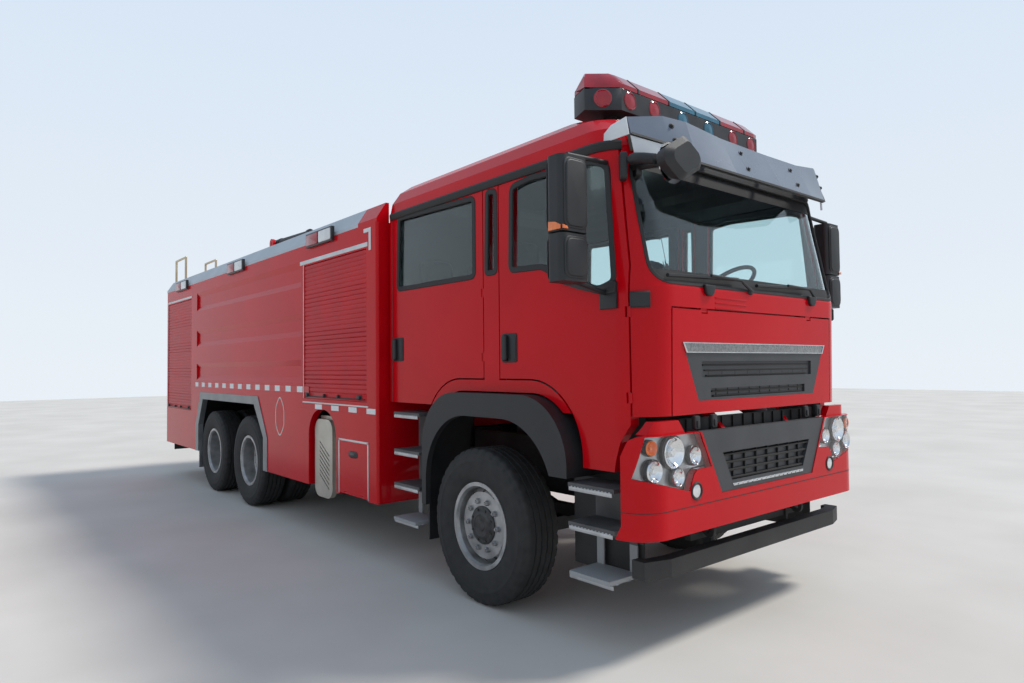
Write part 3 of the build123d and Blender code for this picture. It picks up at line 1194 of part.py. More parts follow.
# Ladder at the tail's right, with a hoop over the roof above each stile
with BuildPart() as ladder:
    x_stile = -(REAR_REACH - TUBE_R)
    for y in LADDER_Y:
        add(tube((x_stile, y, LADDER_FOOT), (x_stile, y, BODY_TOP), TUBE_R))
        add(tube((x_stile, y, BODY_TOP + SEAT), (x_stile, y, HOOP_TOP), TUBE_R))
        add(tube((x_stile, y, HOOP_TOP), (x_stile + HOOP, y, HOOP_TOP), TUBE_R))
        add(tube((x_stile + HOOP, y, HOOP_TOP), (x_stile + HOOP, y, BODY_TOP + SEAT), TUBE_R))
        for x in (x_stile, x_stile + HOOP):
            with Locations((at(x), y, HOOP_TOP)):
                Sphere(TUBE_R)
        for z in LADDER_STAYS:
            add(tube((x_stile, y, z), (BODY_REAR - SEAT, y, z), RUNG_R))
    first, last = RUNG_Z
    for step in range(RUNGS):
        z = first + step * (last - first) / (RUNGS - 1)
        add(tube((x_stile, LADDER_Y[0], z), (x_stile, LADDER_Y[1], z), RUNG_R))
save(ladder, "ladder")

# Lamps of the body: a tail lamp at each side, three markers along each top rail
with BuildPart() as body_lamps:
    for side in SIDES:
        thick, y0, y1, z0, z1 = TAIL_LAMP
        block(at(BODY_REAR - thick), at(BODY_REAR - SEAT), side * y0, side * y1, z0, z1)
        half_long, thick, z0, z1 = MARKER
        for x in MARKERS:
            block(at(x - half_long), at(x + half_long), side * (BODY_Y + SEAT), side * (BODY_Y + thick),
                  BODY_TOP + z0, BODY_TOP + z1)
save(body_lamps, "body_lamps")

# Monitor on the roof: a fixed foot, a swivelling elbow, and the barrel that tilts in it
foot_top = BODY_TOP + SEAT
with BuildPart() as monitor_foot:
    for radius, high in ((FOOT_R, ELBOW_Z - BODY_TOP), (FOOT_FLANGE_R, FOOT_FLANGE_T)):
        with Locations((at(MONITOR_X), 0, foot_top + high / 2)):
            Cylinder(radius, high)
save(monitor_foot, "monitor_foot")
with BuildPart() as monitor_elbow:
    base = ELBOW_Z + 2 * SEAT
    cheek_in = BARREL_R1 + CHEEK[0]
    cheek_out = BARREL_R1 + CHEEK[1]
    with Locations((at(MONITOR_X), 0, base + ELBOW_H / 2)):
        Cylinder(ELBOW_R, ELBOW_H)
    for side in SIDES:
        block(at(MONITOR_X - CHEEK_R), at(MONITOR_X + CHEEK_R), side * (cheek_in + SEAT), side * cheek_out,
              base + ELBOW_H / 2, MONITOR_Z)
        with Locations(Location((at(MONITOR_X), side * (cheek_in + SEAT + cheek_out) / 2, MONITOR_Z),
                                (90, 0, 0))):
            Cylinder(CHEEK_R, cheek_out - cheek_in - SEAT)
            Cylinder(TRUNNION_R + SEAT, 2 * (cheek_out - cheek_in), mode=Mode.SUBTRACT)
save(monitor_elbow, "monitor_elbow")


def muzzle(distance):
    """A plane square to the barrel, this far ahead of the monitor's middle."""
    return Plane(origin=(at(MONITOR_X + distance), 0, MONITOR_Z), z_dir=(1, 0, 0))


breech_start, breech_end = BREECH
with BuildPart() as monitor_barrel:
    with BuildSketch(muzzle(breech_start)):
        Circle(BARREL_R1 + 8)
    extrude(amount=breech_end - breech_start)
    for distance, radius in ((breech_end, BARREL_R1), (BARREL - NOZZLE_T, BARREL_R2)):
        with BuildSketch(muzzle(distance)):
            Circle(radius)
    loft()
    with BuildSketch(muzzle(BARREL - NOZZLE_T)):
        Circle(BARREL_R2 + 14)
    extrude(amount=NOZZLE_T)
    with Locations(Location((at(MONITOR_X), 0, MONITOR_Z), (90, 0, 0))):
        Cylinder(TRUNNION_R, 2 * cheek_out)
        Cylinder(BOSS_R, 2 * cheek_in)
    with Locations(Location((at(MONITOR_X + BARREL - NOZZLE_DEEP / 2), 0, MONITOR_Z), (0, 90, 0))):
        Cylinder(NOZZLE_R, NOZZLE_DEEP, mode=Mode.SUBTRACT)
save(monitor_barrel, "monitor_barrel")
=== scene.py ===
import math

import bmesh
import bpy
from mathutils import Matrix, Vector


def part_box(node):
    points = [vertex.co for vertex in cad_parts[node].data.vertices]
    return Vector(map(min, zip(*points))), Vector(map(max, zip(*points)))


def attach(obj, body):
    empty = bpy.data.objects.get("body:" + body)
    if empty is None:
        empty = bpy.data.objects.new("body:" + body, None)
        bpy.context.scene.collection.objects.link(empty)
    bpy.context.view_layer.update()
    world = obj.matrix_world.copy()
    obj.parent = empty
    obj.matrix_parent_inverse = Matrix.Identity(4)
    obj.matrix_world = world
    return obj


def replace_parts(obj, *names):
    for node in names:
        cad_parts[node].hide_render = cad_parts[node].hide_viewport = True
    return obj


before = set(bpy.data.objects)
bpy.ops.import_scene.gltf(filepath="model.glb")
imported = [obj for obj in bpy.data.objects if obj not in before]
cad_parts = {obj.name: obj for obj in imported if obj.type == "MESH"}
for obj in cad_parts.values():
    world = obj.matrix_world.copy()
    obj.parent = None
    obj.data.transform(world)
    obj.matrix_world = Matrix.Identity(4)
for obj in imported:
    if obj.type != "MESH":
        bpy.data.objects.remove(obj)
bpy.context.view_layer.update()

# Camera. The place, angles and focal length were solved from the photograph's wheels and straight edges.
# Lengths from here on are metres, X forward, Y to the left, and AXLE is X of the front axle.
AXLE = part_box("front_axle")[0][0] + 0.05
CAMERA_PLACE = (7.143, -4.060, 1.633)
CAMERA_YAW, CAMERA_PITCH, CAMERA_ROLL = 139.881, 1.815, -0.604
FOCAL_PIXELS, PICTURE_PIXELS, SENSOR = 686.6, 1024, 36.0
SHIFT_RIGHT, SHIFT_UP = -0.00525, 0.00283
yaw, pitch, roll = (math.radians(a) for a in (CAMERA_YAW, CAMERA_PITCH, CAMERA_ROLL))
ahead = Vector((math.cos(yaw) * math.cos(pitch), math.sin(yaw) * math.cos(pitch), math.sin(pitch)))
level = ahead.cross(Vector((0, 0, 1))).normalized()
over = level.cross(ahead)
right = math.cos(roll) * level + math.sin(roll) * over
up = -math.sin(roll) * level + math.cos(roll) * over
camera_data = bpy.data.cameras.new("camera")
camera_data.sensor_width = SENSOR
camera_data.lens = FOCAL_PIXELS / PICTURE_PIXELS * SENSOR
camera_data.shift_x, camera_data.shift_y = SHIFT_RIGHT, SHIFT_UP
camera = bpy.data.objects.new("camera", camera_data)
bpy.context.scene.collection.objects.link(camera)
turn = Matrix((right, up, -ahead)).transposed().to_4x4()
camera.matrix_world = Matrix.Translation(CAMERA_PLACE) @ turn
bpy.context.scene.camera = camera
bpy.context.scene.view_settings.view_transform = "Standard"

# Ground and light. The truck stands on pale concrete under a bright open sky, with a low soft sun from
# its front left, so that the side towards the camera is lit by the sky alone.
def node_tree(material):
    material.use_nodes = True
    return material.node_tree, material.node_tree.nodes["Principled BSDF"]


def added(tree, kind, values=(), links=(), operation=None):
    """Adds a shader node, with fixed inputs, and with links into it from other nodes' outputs."""
    node = tree.nodes.new("ShaderNode" + kind)
    if operation:
        node.operation = operation
    for socket, value in values:
        node.inputs[socket].default_value = value
    for socket, source in links:
        tree.links.new(source, node.inputs[socket])
    return node


MOTTLE_DETAIL, MOTTLE_STOPS, GRAIN_HEIGHT = 6.0, (0.3, 0.7), 0.001


def finish(name, colours, scale, roughness, metallic=0.0, grain=(400.0, 0.1), coat=0.0):
    """A whole finish: two tones that a noise mixes, a range of roughness, a metal share, grain and clear coat."""
    material = bpy.data.materials.new(name)
    tree, shader = node_tree(material)
    place = added(tree, "TexCoord").outputs["Object"]
    mottle = added(tree, "TexNoise", (("Scale", scale), ("Detail", MOTTLE_DETAIL)), (("Vector", place),))
    noise = mottle.outputs["Fac"]
    ramp = added(tree, "ValToRGB", links=(("Fac", noise),))
    for element, stop, colour in zip(ramp.color_ramp.elements, MOTTLE_STOPS, colours):
        element.position, element.color = stop, (*colour, 1)
    spread = added(tree, "MapRange", (("To Min", roughness[0]), ("To Max", roughness[1])), (("Value", noise),))
    tree.links.new(ramp.outputs["Color"], shader.inputs["Base Color"])
    tree.links.new(spread.outputs["Result"], shader.inputs["Roughness"])
    shader.inputs["Metallic"].default_value, shader.inputs["Coat Weight"].default_value = metallic, coat
    if grain:
        fine = added(tree, "TexNoise", (("Scale", grain[0]),), (("Vector", place),)).outputs["Fac"]
        bump = added(tree, "Bump", (("Strength", grain[1]), ("Distance", GRAIN_HEIGHT)), (("Height", fine),))
        tree.links.new(bump.outputs["Normal"], shader.inputs["Normal"])
    return material


FLOOR_HALF = 40.0
concrete = finish("pale_concrete", ((0.56, 0.53, 0.49), (0.64, 0.61, 0.57)), 0.7, (0.75, 0.9), grain=(60.0, 0.12))
floor_mesh = bpy.data.meshes.new("floor")
corners = [(a * FLOOR_HALF, b * FLOOR_HALF, 0) for a, b in ((-1, -1), (1, -1), (1, 1), (-1, 1))]
floor_mesh.from_pydata(corners, [], [(0, 1, 2, 3)])
floor_mesh.materials.append(concrete)
floor = bpy.data.objects.new("floor", floor_mesh)
bpy.context.scene.collection.objects.link(floor)

SKY_TOP, SKY_LOW = (0.55, 0.72, 0.95), (0.86, 0.92, 0.98)
SKY_STRENGTH, SKY_SEEN = 0.75, 0.95
world = bpy.data.worlds.new("sky")
bpy.context.scene.world = world
world.use_nodes = True
sky = world.node_tree
background = sky.nodes["Background"]
split = added(sky, "SeparateXYZ", links=(("Vector", added(sky, "TexCoord").outputs["Generated"]),))
fade = added(sky, "ValToRGB", links=(("Fac", split.outputs["Z"]),))
fade.color_ramp.elements[0].color, fade.color_ramp.elements[1].color = (*SKY_LOW, 1), (*SKY_TOP, 1)
rays = added(sky, "LightPath").outputs
seen = added(sky, "Math", (), ((0, rays["Is Camera Ray"]), (1, rays["Is Transmission Ray"])), "MAXIMUM")
strength = added(sky, "MapRange", (("To Min", SKY_STRENGTH), ("To Max", SKY_SEEN)),
                 (("Value", seen.outputs["Value"]),))
sky.links.new(fade.outputs["Color"], background.inputs["Color"])
sky.links.new(strength.outputs["Result"], background.inputs["Strength"])

SUN_TURN, SUN_WIDTH = (math.radians(38), 0, math.radians(150)), math.radians(12)
SUN_STRENGTH, SUN_COLOUR = 2.6, (1.0, 0.96, 0.9)
sun_data = bpy.data.lights.new("sun", "SUN")
sun_data.energy, sun_data.angle, sun_data.color = SUN_STRENGTH, SUN_WIDTH, SUN_COLOUR
sun = bpy.data.objects.new("sun", sun_data)
sun.rotation_euler = SUN_TURN
bpy.context.scene.collection.objects.link(sun)

# Red coachwork: the cab, its doors and front panel, the bumper and the equipment body. Pressed steel in
# a glossy two-coat red. Inside, the cab's panels are covered in grey felt and plastic.
def coat(node, material):
    """Gives a CAD piece a finish."""
    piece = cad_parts[node]
    for slot in piece.material_slots:
        slot.material = material
    return piece


def compared(tree, operation, value, limit):
    """A mask that is 1 where a value passes a limit."""
    return added(tree, "Math", ((1, limit),), ((0, value),), operation).outputs["Value"]


def recoloured(material, mask, colour):
    """Gives a finish a second colour where a mask is 1."""
    tree, shader = node_tree(material)
    mix = tree.nodes.new("ShaderNodeMix")
    mix.data_type = "RGBA"
    mix.inputs["B"].default_value = (*colour, 1)
    tree.links.new(shader.inputs["Base Color"].links[0].from_socket, mix.inputs["A"])
    tree.links.new(mask, mix.inputs["Factor"])
    tree.links.new(mix.outputs["Result"], shader.inputs["Base Color"])


def position(tree):
    """The X, Y and Z of the point that is coloured."""
    return added(tree, "SeparateXYZ", links=(("Vector", added(tree, "TexCoord").outputs["Object"]),)).outputs


RED, DEEP_RED = (0.58, 0.002, 0.008), (0.50, 0.001, 0.006)
LINING, FACING_HEART = (0.13, 0.135, 0.14), 0.3
CAB_HEART = (AXLE + 0.1, 0.0, 2.25)
red = finish("red_coachwork", (DEEP_RED, RED), 1.2, (0.18, 0.26), grain=(900.0, 0.015), coat=0.22)
red.node_tree.nodes["Principled BSDF"].inputs["Specular IOR Level"].default_value = 0.1
# the lining covers the faces that look at the middle of the cab
red_lined = red.copy()
red_lined.name = "red_and_lining"
tree = red_lined.node_tree
inward = added(tree, "VectorMath", ((0, CAB_HEART),), ((1, added(tree, "TexCoord").outputs["Object"]),), "SUBTRACT")
normal = added(tree, "NewGeometry").outputs["Normal"]
facing = added(tree, "VectorMath", (), ((0, inward.outputs["Vector"]), (1, normal)), "DOT_PRODUCT")
recoloured(red_lined, compared(tree, "GREATER_THAN", facing.outputs["Value"], FACING_HEART), LINING)
for node in ["cab_shell"] + [f"{kind}_door_{side}" for kind in ("front", "rear") for side in ("right", "left")]:
    coat(node, red_lined)
for node in ("front_lid", "bumper", "locker_door_right", "locker_door_left", "monitor_foot", "monitor_elbow"):
    coat(node, red)

# Equipment body: welded steel and sheet in the same red outside. Its wheel arches and lower bays are
# sprayed with black underseal.
BAY_TOP, BAY_SIDE, BAY_FRONT = 1.28, 1.185, -1.47
UNDERSEAL = (0.012, 0.012, 0.013)
body_red = red.copy()
body_red.name = "body_red_and_underseal"
tree = body_red.node_tree
spot = position(tree)
sideways = added(tree, "Math", (), ((0, spot["Y"]),), "ABSOLUTE").outputs["Value"]
in_bay = compared(tree, "LESS_THAN", spot["Z"], BAY_TOP)
for value, limit in ((sideways, BAY_SIDE), (spot["X"], AXLE + BAY_FRONT)):
    mask = compared(tree, "LESS_THAN", value, limit)
    in_bay = added(tree, "Math", (), ((0, in_bay), (1, mask)), "MULTIPLY").outputs["Value"]
recoloured(body_red, in_bay, UNDERSEAL)
coat("body_shell", body_red)

# Top rails: folded aluminium, silver with a faint blue, fixed along both upper edges of the body.
# They carry the marker lamps.
rail_silver = finish("rail_silver", ((0.36, 0.42, 0.47), (0.5, 0.55, 0.6)), 2.0, (0.3, 0.45), metallic=0.55,
                     grain=(300.0, 0.05))
coat("top_rails", rail_silver)

# Chassis: pressed and forged steel in worn black paint. The finish covers the frame, axles, springs,
# engine, tank and underrun bar.
chassis_black = finish("chassis_black", ((0.012, 0.012, 0.013), (0.035, 0.034, 0.033)), 4.0, (0.5, 0.75),
                       grain=(150.0, 0.25))
for node in ("chassis_frame", "engine_block", "front_axle", "rear_axles", "leaf_springs", "underrun_bar", "fuel_tank",
             "knuckle_right", "knuckle_left"):
    coat(node, chassis_black)

# Moulded plastic: black with a fine leather grain on the flares, mirrors, dashboard and the monitor's
# barrel, and dark grey on the grilles.
black_plastic = finish("black_plastic", ((0.012, 0.013, 0.015), (0.022, 0.023, 0.025)), 6.0, (0.42, 0.6),
                       grain=(700.0, 0.3))
for node in ("front_flares", "mirror_right", "mirror_left", "kerb_mirror", "dashboard", "monitor_barrel"):
    coat(node, black_plastic)
grille_grey = finish("grille_grey", ((0.035, 0.037, 0.041), (0.055, 0.057, 0.062)), 5.0, (0.4, 0.55),
                     grain=(600.0, 0.15))
for node in ("upper_grille", "lower_grille"):
    coat(node, grille_grey)

# Window glass: lightly green safety glass, set in rubber seals and clear enough to look through the cab.
# The same function makes the headlamps' covers.
def clear(name, colour, roughness=0.02, bending=1.45):
    material = bpy.data.materials.new(name)
    shader = node_tree(material)[1]
    shader.inputs["Base Color"].default_value = (*colour, 1)
    shader.inputs["Roughness"].default_value = roughness
    shader.inputs["Transmission Weight"].default_value = 1.0
    shader.inputs["IOR"].default_value = bending
    return material


window = clear("window_glass", (0.76, 0.90, 0.90))
for node in ["cab_glass"] + [f"{kind}_door_glass_{side}" for kind in ("front", "rear") for side in ("right", "left")]:
    coat(node, window)

# Lamp housings, visor blade, silencer cover, arch trims and ladder. Each is moulded, pressed or welded by
# itself and has its own finish.
lamp_black = finish("lamp_black", ((0.015, 0.015, 0.017), (0.03, 0.03, 0.032)), 9.0, (0.25, 0.4))
coat("body_lamps", lamp_black)
visor_blue = finish("visor_blue", ((0.110, 0.135, 0.180), (0.160, 0.190, 0.245)), 1.5, (0.22, 0.35), metallic=0.3,
                    coat=0.6)
coat("sun_visor", visor_blue)
cover_beige = finish("cover_beige", ((0.42, 0.40, 0.35), (0.56, 0.54, 0.48)), 5.0, (0.3, 0.45), metallic=0.7)
coat("silencer_cover", cover_beige)
trim_grey = finish("trim_grey", ((0.18, 0.19, 0.2), (0.3, 0.31, 0.32)), 4.0, (0.3, 0.5), metallic=0.6)
coat("arch_trims", trim_grey)
ladder_gold = finish("ladder_gold", ((0.5, 0.42, 0.28), (0.65, 0.58, 0.42)), 6.0, (0.25, 0.4), metallic=0.8)
coat("ladder", ladder_gold)

# Wheels: pressed steel discs sprayed silver, on dark hubs, held by ten nuts. Tubeless truck tyres with
# four grooves and cut shoulders. Each tyre is turned from its section about the wheel's axis.
def at(distance, y, z):
    """A point given by its distance ahead of the front axle, its side and its height."""
    return Vector((AXLE + distance, y, z))


def skinned(mesh, rings, around=True, looped=False, capped=False):
    """Joins rings of points by faces. The last ring joins the first, or both ends are capped, or neither."""
    count = len(rings[0])
    for ring, following in zip(rings, rings[1:] + (rings[:1] if looped else [])):
        for i in range(count if around else count - 1):
            j = (i + 1) % count
            mesh.faces.new([ring[i], ring[j], following[j], following[i]])
    if capped:
        mesh.faces.new(rings[0][::-1])
        mesh.faces.new(rings[-1])


def turned(mesh, profile, centre, axis, steps=48, closed=False, dent=None):
    """Adds a form turned about an axis, from (radius, distance along the axis) points."""
    axis = Vector(axis).normalized()
    across = Vector((0, 0, 1)) if abs(axis.z) < 0.9 else Vector((1, 0, 0))
    across = (across - across.dot(axis) * axis).normalized()
    over = axis.cross(across)
    rings = []
    for step in range(steps):
        angle = 2 * math.pi * step / steps
        outwards = math.cos(angle) * across + math.sin(angle) * over
        rings.append([mesh.verts.new(centre + axis * along + outwards * (radius - (dent(step, i) if dent else 0)))
                      for i, (radius, along) in enumerate(profile)])
    skinned(mesh, rings, around=closed, looped=True)
    bmesh.ops.remove_doubles(mesh, verts=[point for ring in rings for point in ring], dist=1e-6)


def made(name, mesh, material, body, soften=38):
    """Turns a mesh into a piece with soft shallow edges, which rides on a body."""
    bmesh.ops.recalc_face_normals(mesh, faces=mesh.faces)
    data = bpy.data.meshes.new(name)
    mesh.to_mesh(data)
    mesh.free()
    data.polygons.foreach_set("use_smooth", [True] * len(data.polygons))
    data.set_sharp_from_angle(angle=math.radians(soften))
    data.materials.append(material)
    piece = bpy.data.objects.new(name, data)
    bpy.context.scene.collection.objects.link(piece)
    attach(piece, body)
    return piece


def spaced(centre, radius, count, start=0.0):
    """Points spaced evenly round a wheel's axis."""
    for k in range(count):
        angle = 2 * math.pi * (k + start) / count
        yield centre + Vector((math.cos(angle), 0, math.sin(angle))) * radius


SIDES = ((-1, "right"), (1, "left"))
WHEEL_Z = 0.535
TREAD_STEPS, LUG_DEPTH, SLIT_DEPTH = 160, 0.010, 0.004
half_section = [(0.290, 0.117), (0.301, 0.123), (0.312, 0.131), (0.322, 0.136), (0.330, 0.137), (0.345, 0.1425),
                (0.376, 0.1475), (0.410, 0.150), (0.436, 0.149), (0.441, 0.1505), (0.449, 0.1505), (0.453, 0.148),
                (0.482, 0.145), (0.498, 0.141), (0.507, 0.136), (0.523, 0.128), (0.530, 0.120), (0.5335, 0.108),
                (0.5345, 0.079), (0.531, 0.077), (0.520, 0.075), (0.520, 0.069), (0.531, 0.067), (0.535, 0.065),
                (0.535, 0.031), (0.531, 0.029), (0.520, 0.027), (0.520, 0.021), (0.531, 0.019), (0.535, 0.017)]
tyre_section = half_section + [(radius, -out) for radius, out in reversed(half_section)]
SHOULDER = [i for i, (radius, out) in enumerate(tyre_section) if radius > 0.505 and abs(out) > 0.1]
RIB_EDGES = [i for i, (radius, out) in enumerate(tyre_section) if 0.5305 < radius and 0.015 < abs(out) < 0.08]


def tread_cut(step, i):
    """The shoulders are cut into lugs, and the ribs have fine slits."""
    if i in SHOULDER and step % 4 == 0:
        return LUG_DEPTH
    if i in RIB_EDGES and step % 4 == 2:
        return SLIT_DEPTH
    return 0.0


rubber = finish("tyre_rubber", ((0.013, 0.013, 0.014), (0.030, 0.029, 0.028)), 14.0, (0.65, 0.85),
                grain=(260.0, 0.35))
wheel_silver = finish("wheel_silver", ((0.27, 0.27, 0.27), (0.50, 0.50, 0.50)), 9.0, (0.3, 0.5), metallic=0.6,
                      grain=(300.0, 0.08))
hub_dark = finish("hub_dark", ((0.035, 0.035, 0.037), (0.09, 0.088, 0.085)), 18.0, (0.4, 0.65), metallic=0.5,
                  grain=(220.0, 0.2))
bolt_steel = finish("bolt_steel", ((0.30, 0.30, 0.31), (0.46, 0.46, 0.47)), 30.0, (0.3, 0.5), metallic=0.8)
NUTS, NUT_CIRCLE = 10, 0.1675
HUB_BOLTS, HUB_CIRCLE = 8, 0.110
wheels = []
for side, side_name in SIDES:
    wheels.append((f"front_wheel_{side_name}", f"front_tyre_{side_name}", 0.0, side, (1.07,), 0.088, 0.102))
    for place, distance in (("middle", -4.6), ("rear", -5.95)):
        wheels.append((f"{place}_wheels_{side_name}", f"{place}_tyres_{side_name}", distance, side, (1.07, 0.73),
                       -0.142, 0.021))
for body, tyre_node, distance, side, middles, disc_face, cap_face in wheels:
    mesh = bmesh.new()
    for middle in middles:
        turned(mesh, tyre_section, at(distance, side * middle, WHEEL_Z), (0, side, 0), TREAD_STEPS, closed=True,
               dent=tread_cut)
    tyre = made(tyre_node + "_tread", mesh, rubber, body, soften=50)
    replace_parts(tyre, tyre_node)
    coat(body, wheel_silver)
    mesh = bmesh.new()
    centre = at(distance, side * (middles[0] + disc_face), WHEEL_Z)
    for spot in spaced(centre, NUT_CIRCLE, NUTS):
        turned(mesh, [(0, 0), (0.0205, 0), (0.0205, 0.004), (0.0185, 0.005)], spot, (0, side, 0), 16)
        turned(mesh, [(0.0185, 0.005), (0.0185, 0.021), (0.0150, 0.0265), (0.0095, 0.0265), (0.0085, 0.036),
                      (0, 0.0375)], spot, (0, side, 0), 6)
    made(body + "_nuts", mesh, bolt_steel, body)
    mesh = bmesh.new()
    centre = at(distance, side * (middles[0] + cap_face), WHEEL_Z)
    reach = 0.0 if cap_face > 0.1 else -0.012
    turned(mesh, [(0.128, reach - 0.030), (0.131, reach - 0.026), (0.131, reach - 0.006), (0.124, reach),
                  (0.100, reach + 0.002), (0.094, reach + 0.008), (0.074, reach + 0.012), (0.070, reach + 0.008),
                  (0.040, reach + 0.008), (0.036, reach + 0.013), (0, reach + 0.014)], centre, (0, side, 0), 64)
    for spot in spaced(centre, HUB_CIRCLE, HUB_BOLTS, 0.5):
        turned(mesh, [(0.0085, reach - 0.002), (0.0085, reach + 0.008), (0.006, reach + 0.010), (0, reach + 0.010)],
               spot, (0, side, 0), 6)
    made(body + "_hub_cap", mesh, hub_dark, body)

# Window seals: black rubber frames round the door windows and the small windows between the doors, each
# pressed over the edge of its opening. The seal follows the cab's side, which turns in at the front.
CAB_FRONTS = ((1.010, 1.440), (2.070, 1.460), (2.900, 1.285))
CAB_HALF, CAB_CORNER = 1.146, 0.230


def nose(z):
    """How far ahead the cab's front is at a height."""
    for (low, front), (high, back) in zip(CAB_FRONTS, CAB_FRONTS[1:]):
        if z <= high or high == CAB_FRONTS[-1][0]:
            return front + (back - front) * (z - low) / (high - low)


def cab_side(distance, z):
    """Half the cab's width at a distance and height, round its front corner."""
    past = distance - nose(z) + CAB_CORNER
    if past <= 0:
        return CAB_HALF
    return CAB_HALF - CAB_CORNER + math.sqrt(max(0.0, CAB_CORNER ** 2 - min(past, CAB_CORNER) ** 2))


def cab_front(y, z):
    """How far ahead the cab's front is at a side and height, round its corner."""
    past = abs(y) - CAB_HALF + CAB_CORNER
    if past <= 0:
        return nose(z)
    return nose(z) - CAB_CORNER + math.sqrt(max(0.0, CAB_CORNER ** 2 - min(past, CAB_CORNER) ** 2))


def strip(mesh, path, section, out, closed=False):
    """Adds a moulding: a section of (across, outwards) points, swept along a path with mitred bends."""
    rings = []
    count = len(path)
    for i, point in enumerate(path):
        before = (point - path[i - 1]).normalized() if i or closed else None
        after = (path[(i + 1) % count] - point).normalized() if i + 1 < count or closed else None
        along = ((before or after) + (after or before)).normalized()
        outwards = Vector(out[i]) if len(out) == count else Vector(out)
        outwards = (outwards - outwards.dot(along) * along).normalized()
        across = outwards.cross(along)
        widen = 1 / max(0.5, along.dot(after or before))
        rings.append([mesh.verts.new(point + across * a * widen + outwards * b) for a, b in section])
    skinned(mesh, rings, looped=closed, capped=not closed)


def eased(corners, radius, steps=5):
    """The same flat outline, as (a, b) points, with an arc of short steps at each corner."""
    points = []
    for i, corner in enumerate(corners):
        corner = Vector(corner)
        to_last = (Vector(corners[i - 1]) - corner).normalized()
        to_next = (Vector(corners[(i + 1) % len(corners)]) - corner).normalized()
        for step in range(steps + 1):
            share = step / steps
            start, end = corner + to_last * radius, corner + to_next * radius
            points.append((1 - share) ** 2 * start + 2 * share * (1 - share) * corner + share ** 2 * end)
    return points


seal_rubber = finish("seal_rubber", ((0.010, 0.010, 0.011), (0.020, 0.020, 0.021)), 12.0, (0.5, 0.7),
                     grain=(500.0, 0.15))
SEAL = [(-0.020, -0.019), (-0.020, 0.002), (-0.015, 0.006), (0.015, 0.006), (0.020, 0.002), (0.020, -0.010)]
windows = {
    "rear_door": [(-1.165, 2.280), (-0.100, 2.275), (-0.100, 2.840), (-1.145, 2.870)],
    "front_door": [(0.305, 2.272), (0.620, 2.262), (0.760, 2.185), (1.100, 2.070), (1.225, 2.105),
                   (1.165, 2.790), (1.060, 2.830), (0.510, 2.852), (0.320, 2.830)],
    "quarter": [(0.040, 2.280), (0.150, 2.280), (0.150, 2.840), (0.055, 2.850)],
}
for side, side_name in SIDES:
    for window_name, corners in windows.items():
        radius = 0.03 if window_name == "quarter" else 0.045
        path = [at(x, side * cab_side(x, z), z) for x, z in eased(corners, radius)]
        mesh = bmesh.new()
        strip(mesh, path, SEAL, (0, side, 0), closed=True)
        body = "cab" if window_name == "quarter" else f"{window_name}_{side_name}"
        made(f"{window_name}_seal_{side_name}", mesh, seal_rubber, body)

# Windscreen: curved laminated glass in a black rubber seal. A printed black band runs along its foot. A black band
# across the top of the glass, and a black strip over it on the roof's front edge, are painted shade, which stands
# in for the shadow of the visor.
SCREEN_SEAL = [(-0.011, -0.019), (-0.011, 0.002), (-0.008, 0.005), (0.008, 0.005), (0.011, 0.002), (0.011, -0.010)]
SCREEN_HALF, SCREEN_FOOT, SCREEN_HEAD, SCREEN_CORNER = 1.050, 2.095, 2.855, 0.13
# the foot band is print; the top band and the strip over the glass are painted shade, the visor's shadow
SCREEN_PRINT_AND_SHADE_BANDS = (("foot", 2.106, 2.172, -0.0165), ("visor_shade_top", 2.760, 2.846, -0.0165), ("visor_shade_brow", 2.866, 2.985, 0.004))
BAND_HALF, BAND_STEPS = 1.035, 60
screen = [(a * SCREEN_HALF, z) for z, order in ((SCREEN_FOOT, 1), (SCREEN_HEAD, -1)) for a in (-order, 0, order)]
screen_path = [at(cab_front(y, z), y, z) for y, z in eased(screen, SCREEN_CORNER, 8)]
dense = []
for start, end in zip(screen_path, screen_path[1:] + screen_path[:1]):
    pieces_here = max(1, round((end - start).length / 0.04))
    dense += [start.lerp(end, k / pieces_here) for k in range(pieces_here)]
dense = [at(cab_front(p.y, p.z), p.y, p.z) for p in dense]
screen_outwards = []
for p in dense:
    lean = abs(p.y) - CAB_HALF + CAB_CORNER
    turn = math.asin(min(1.0, max(0.0, lean) / CAB_CORNER))
    screen_outwards.append((math.cos(turn), math.copysign(math.sin(turn), p.y), 0.2))
mesh = bmesh.new()
strip(mesh, dense, SCREEN_SEAL, screen_outwards, closed=True)
made("windscreen_seal", mesh, seal_rubber, "cab")
# the last two bands are painted shadow of the visor
for name, low, high, lift in SCREEN_PRINT_AND_SHADE_BANDS:
    mesh = bmesh.new()
    band = []
    for step in range(BAND_STEPS + 1):
        y = -BAND_HALF + 2 * BAND_HALF * step / BAND_STEPS
        band.append([mesh.verts.new(at(cab_front(y, z) + lift + depth, y, z)) for depth, z in
                     ((-0.001, low), (-0.001, high), (0.0, high), (0.0, low))])
    skinned(mesh, band, capped=True)
    made(f"windscreen_band_{name}", mesh, seal_rubber, "cab")

# Drip moulding: a black rubber extrusion along the foot of the roof on both sides. It runs over the
# doors and ends in the cab's front corner.
MOULDING_REAR, MOULDING_FRONT, MOULDING_Z = -1.262, 1.228, 2.902
MOULDING = [(-0.030, -0.004), (-0.030, 0.010), (-0.018, 0.020), (0.012, 0.022), (0.026, 0.012), (0.030, -0.004)]
for side, side_name in SIDES:
    path, outwards = [], []
    for step in range(61):
        x = MOULDING_REAR + (MOULDING_FRONT - MOULDING_REAR) * step / 60
        path.append(at(x, side * cab_side(x, 2.9), MOULDING_Z))
        past = max(0.0, x - nose(2.9) + CAB_CORNER)
        turn = math.asin(min(0.99, past / CAB_CORNER))
        outwards.append((math.sin(turn), side * math.cos(turn), 0))
    mesh = bmesh.new()
    strip(mesh, path, MOULDING, outwards)
    made(f"drip_moulding_{side_name}", mesh, seal_rubber, "cab")


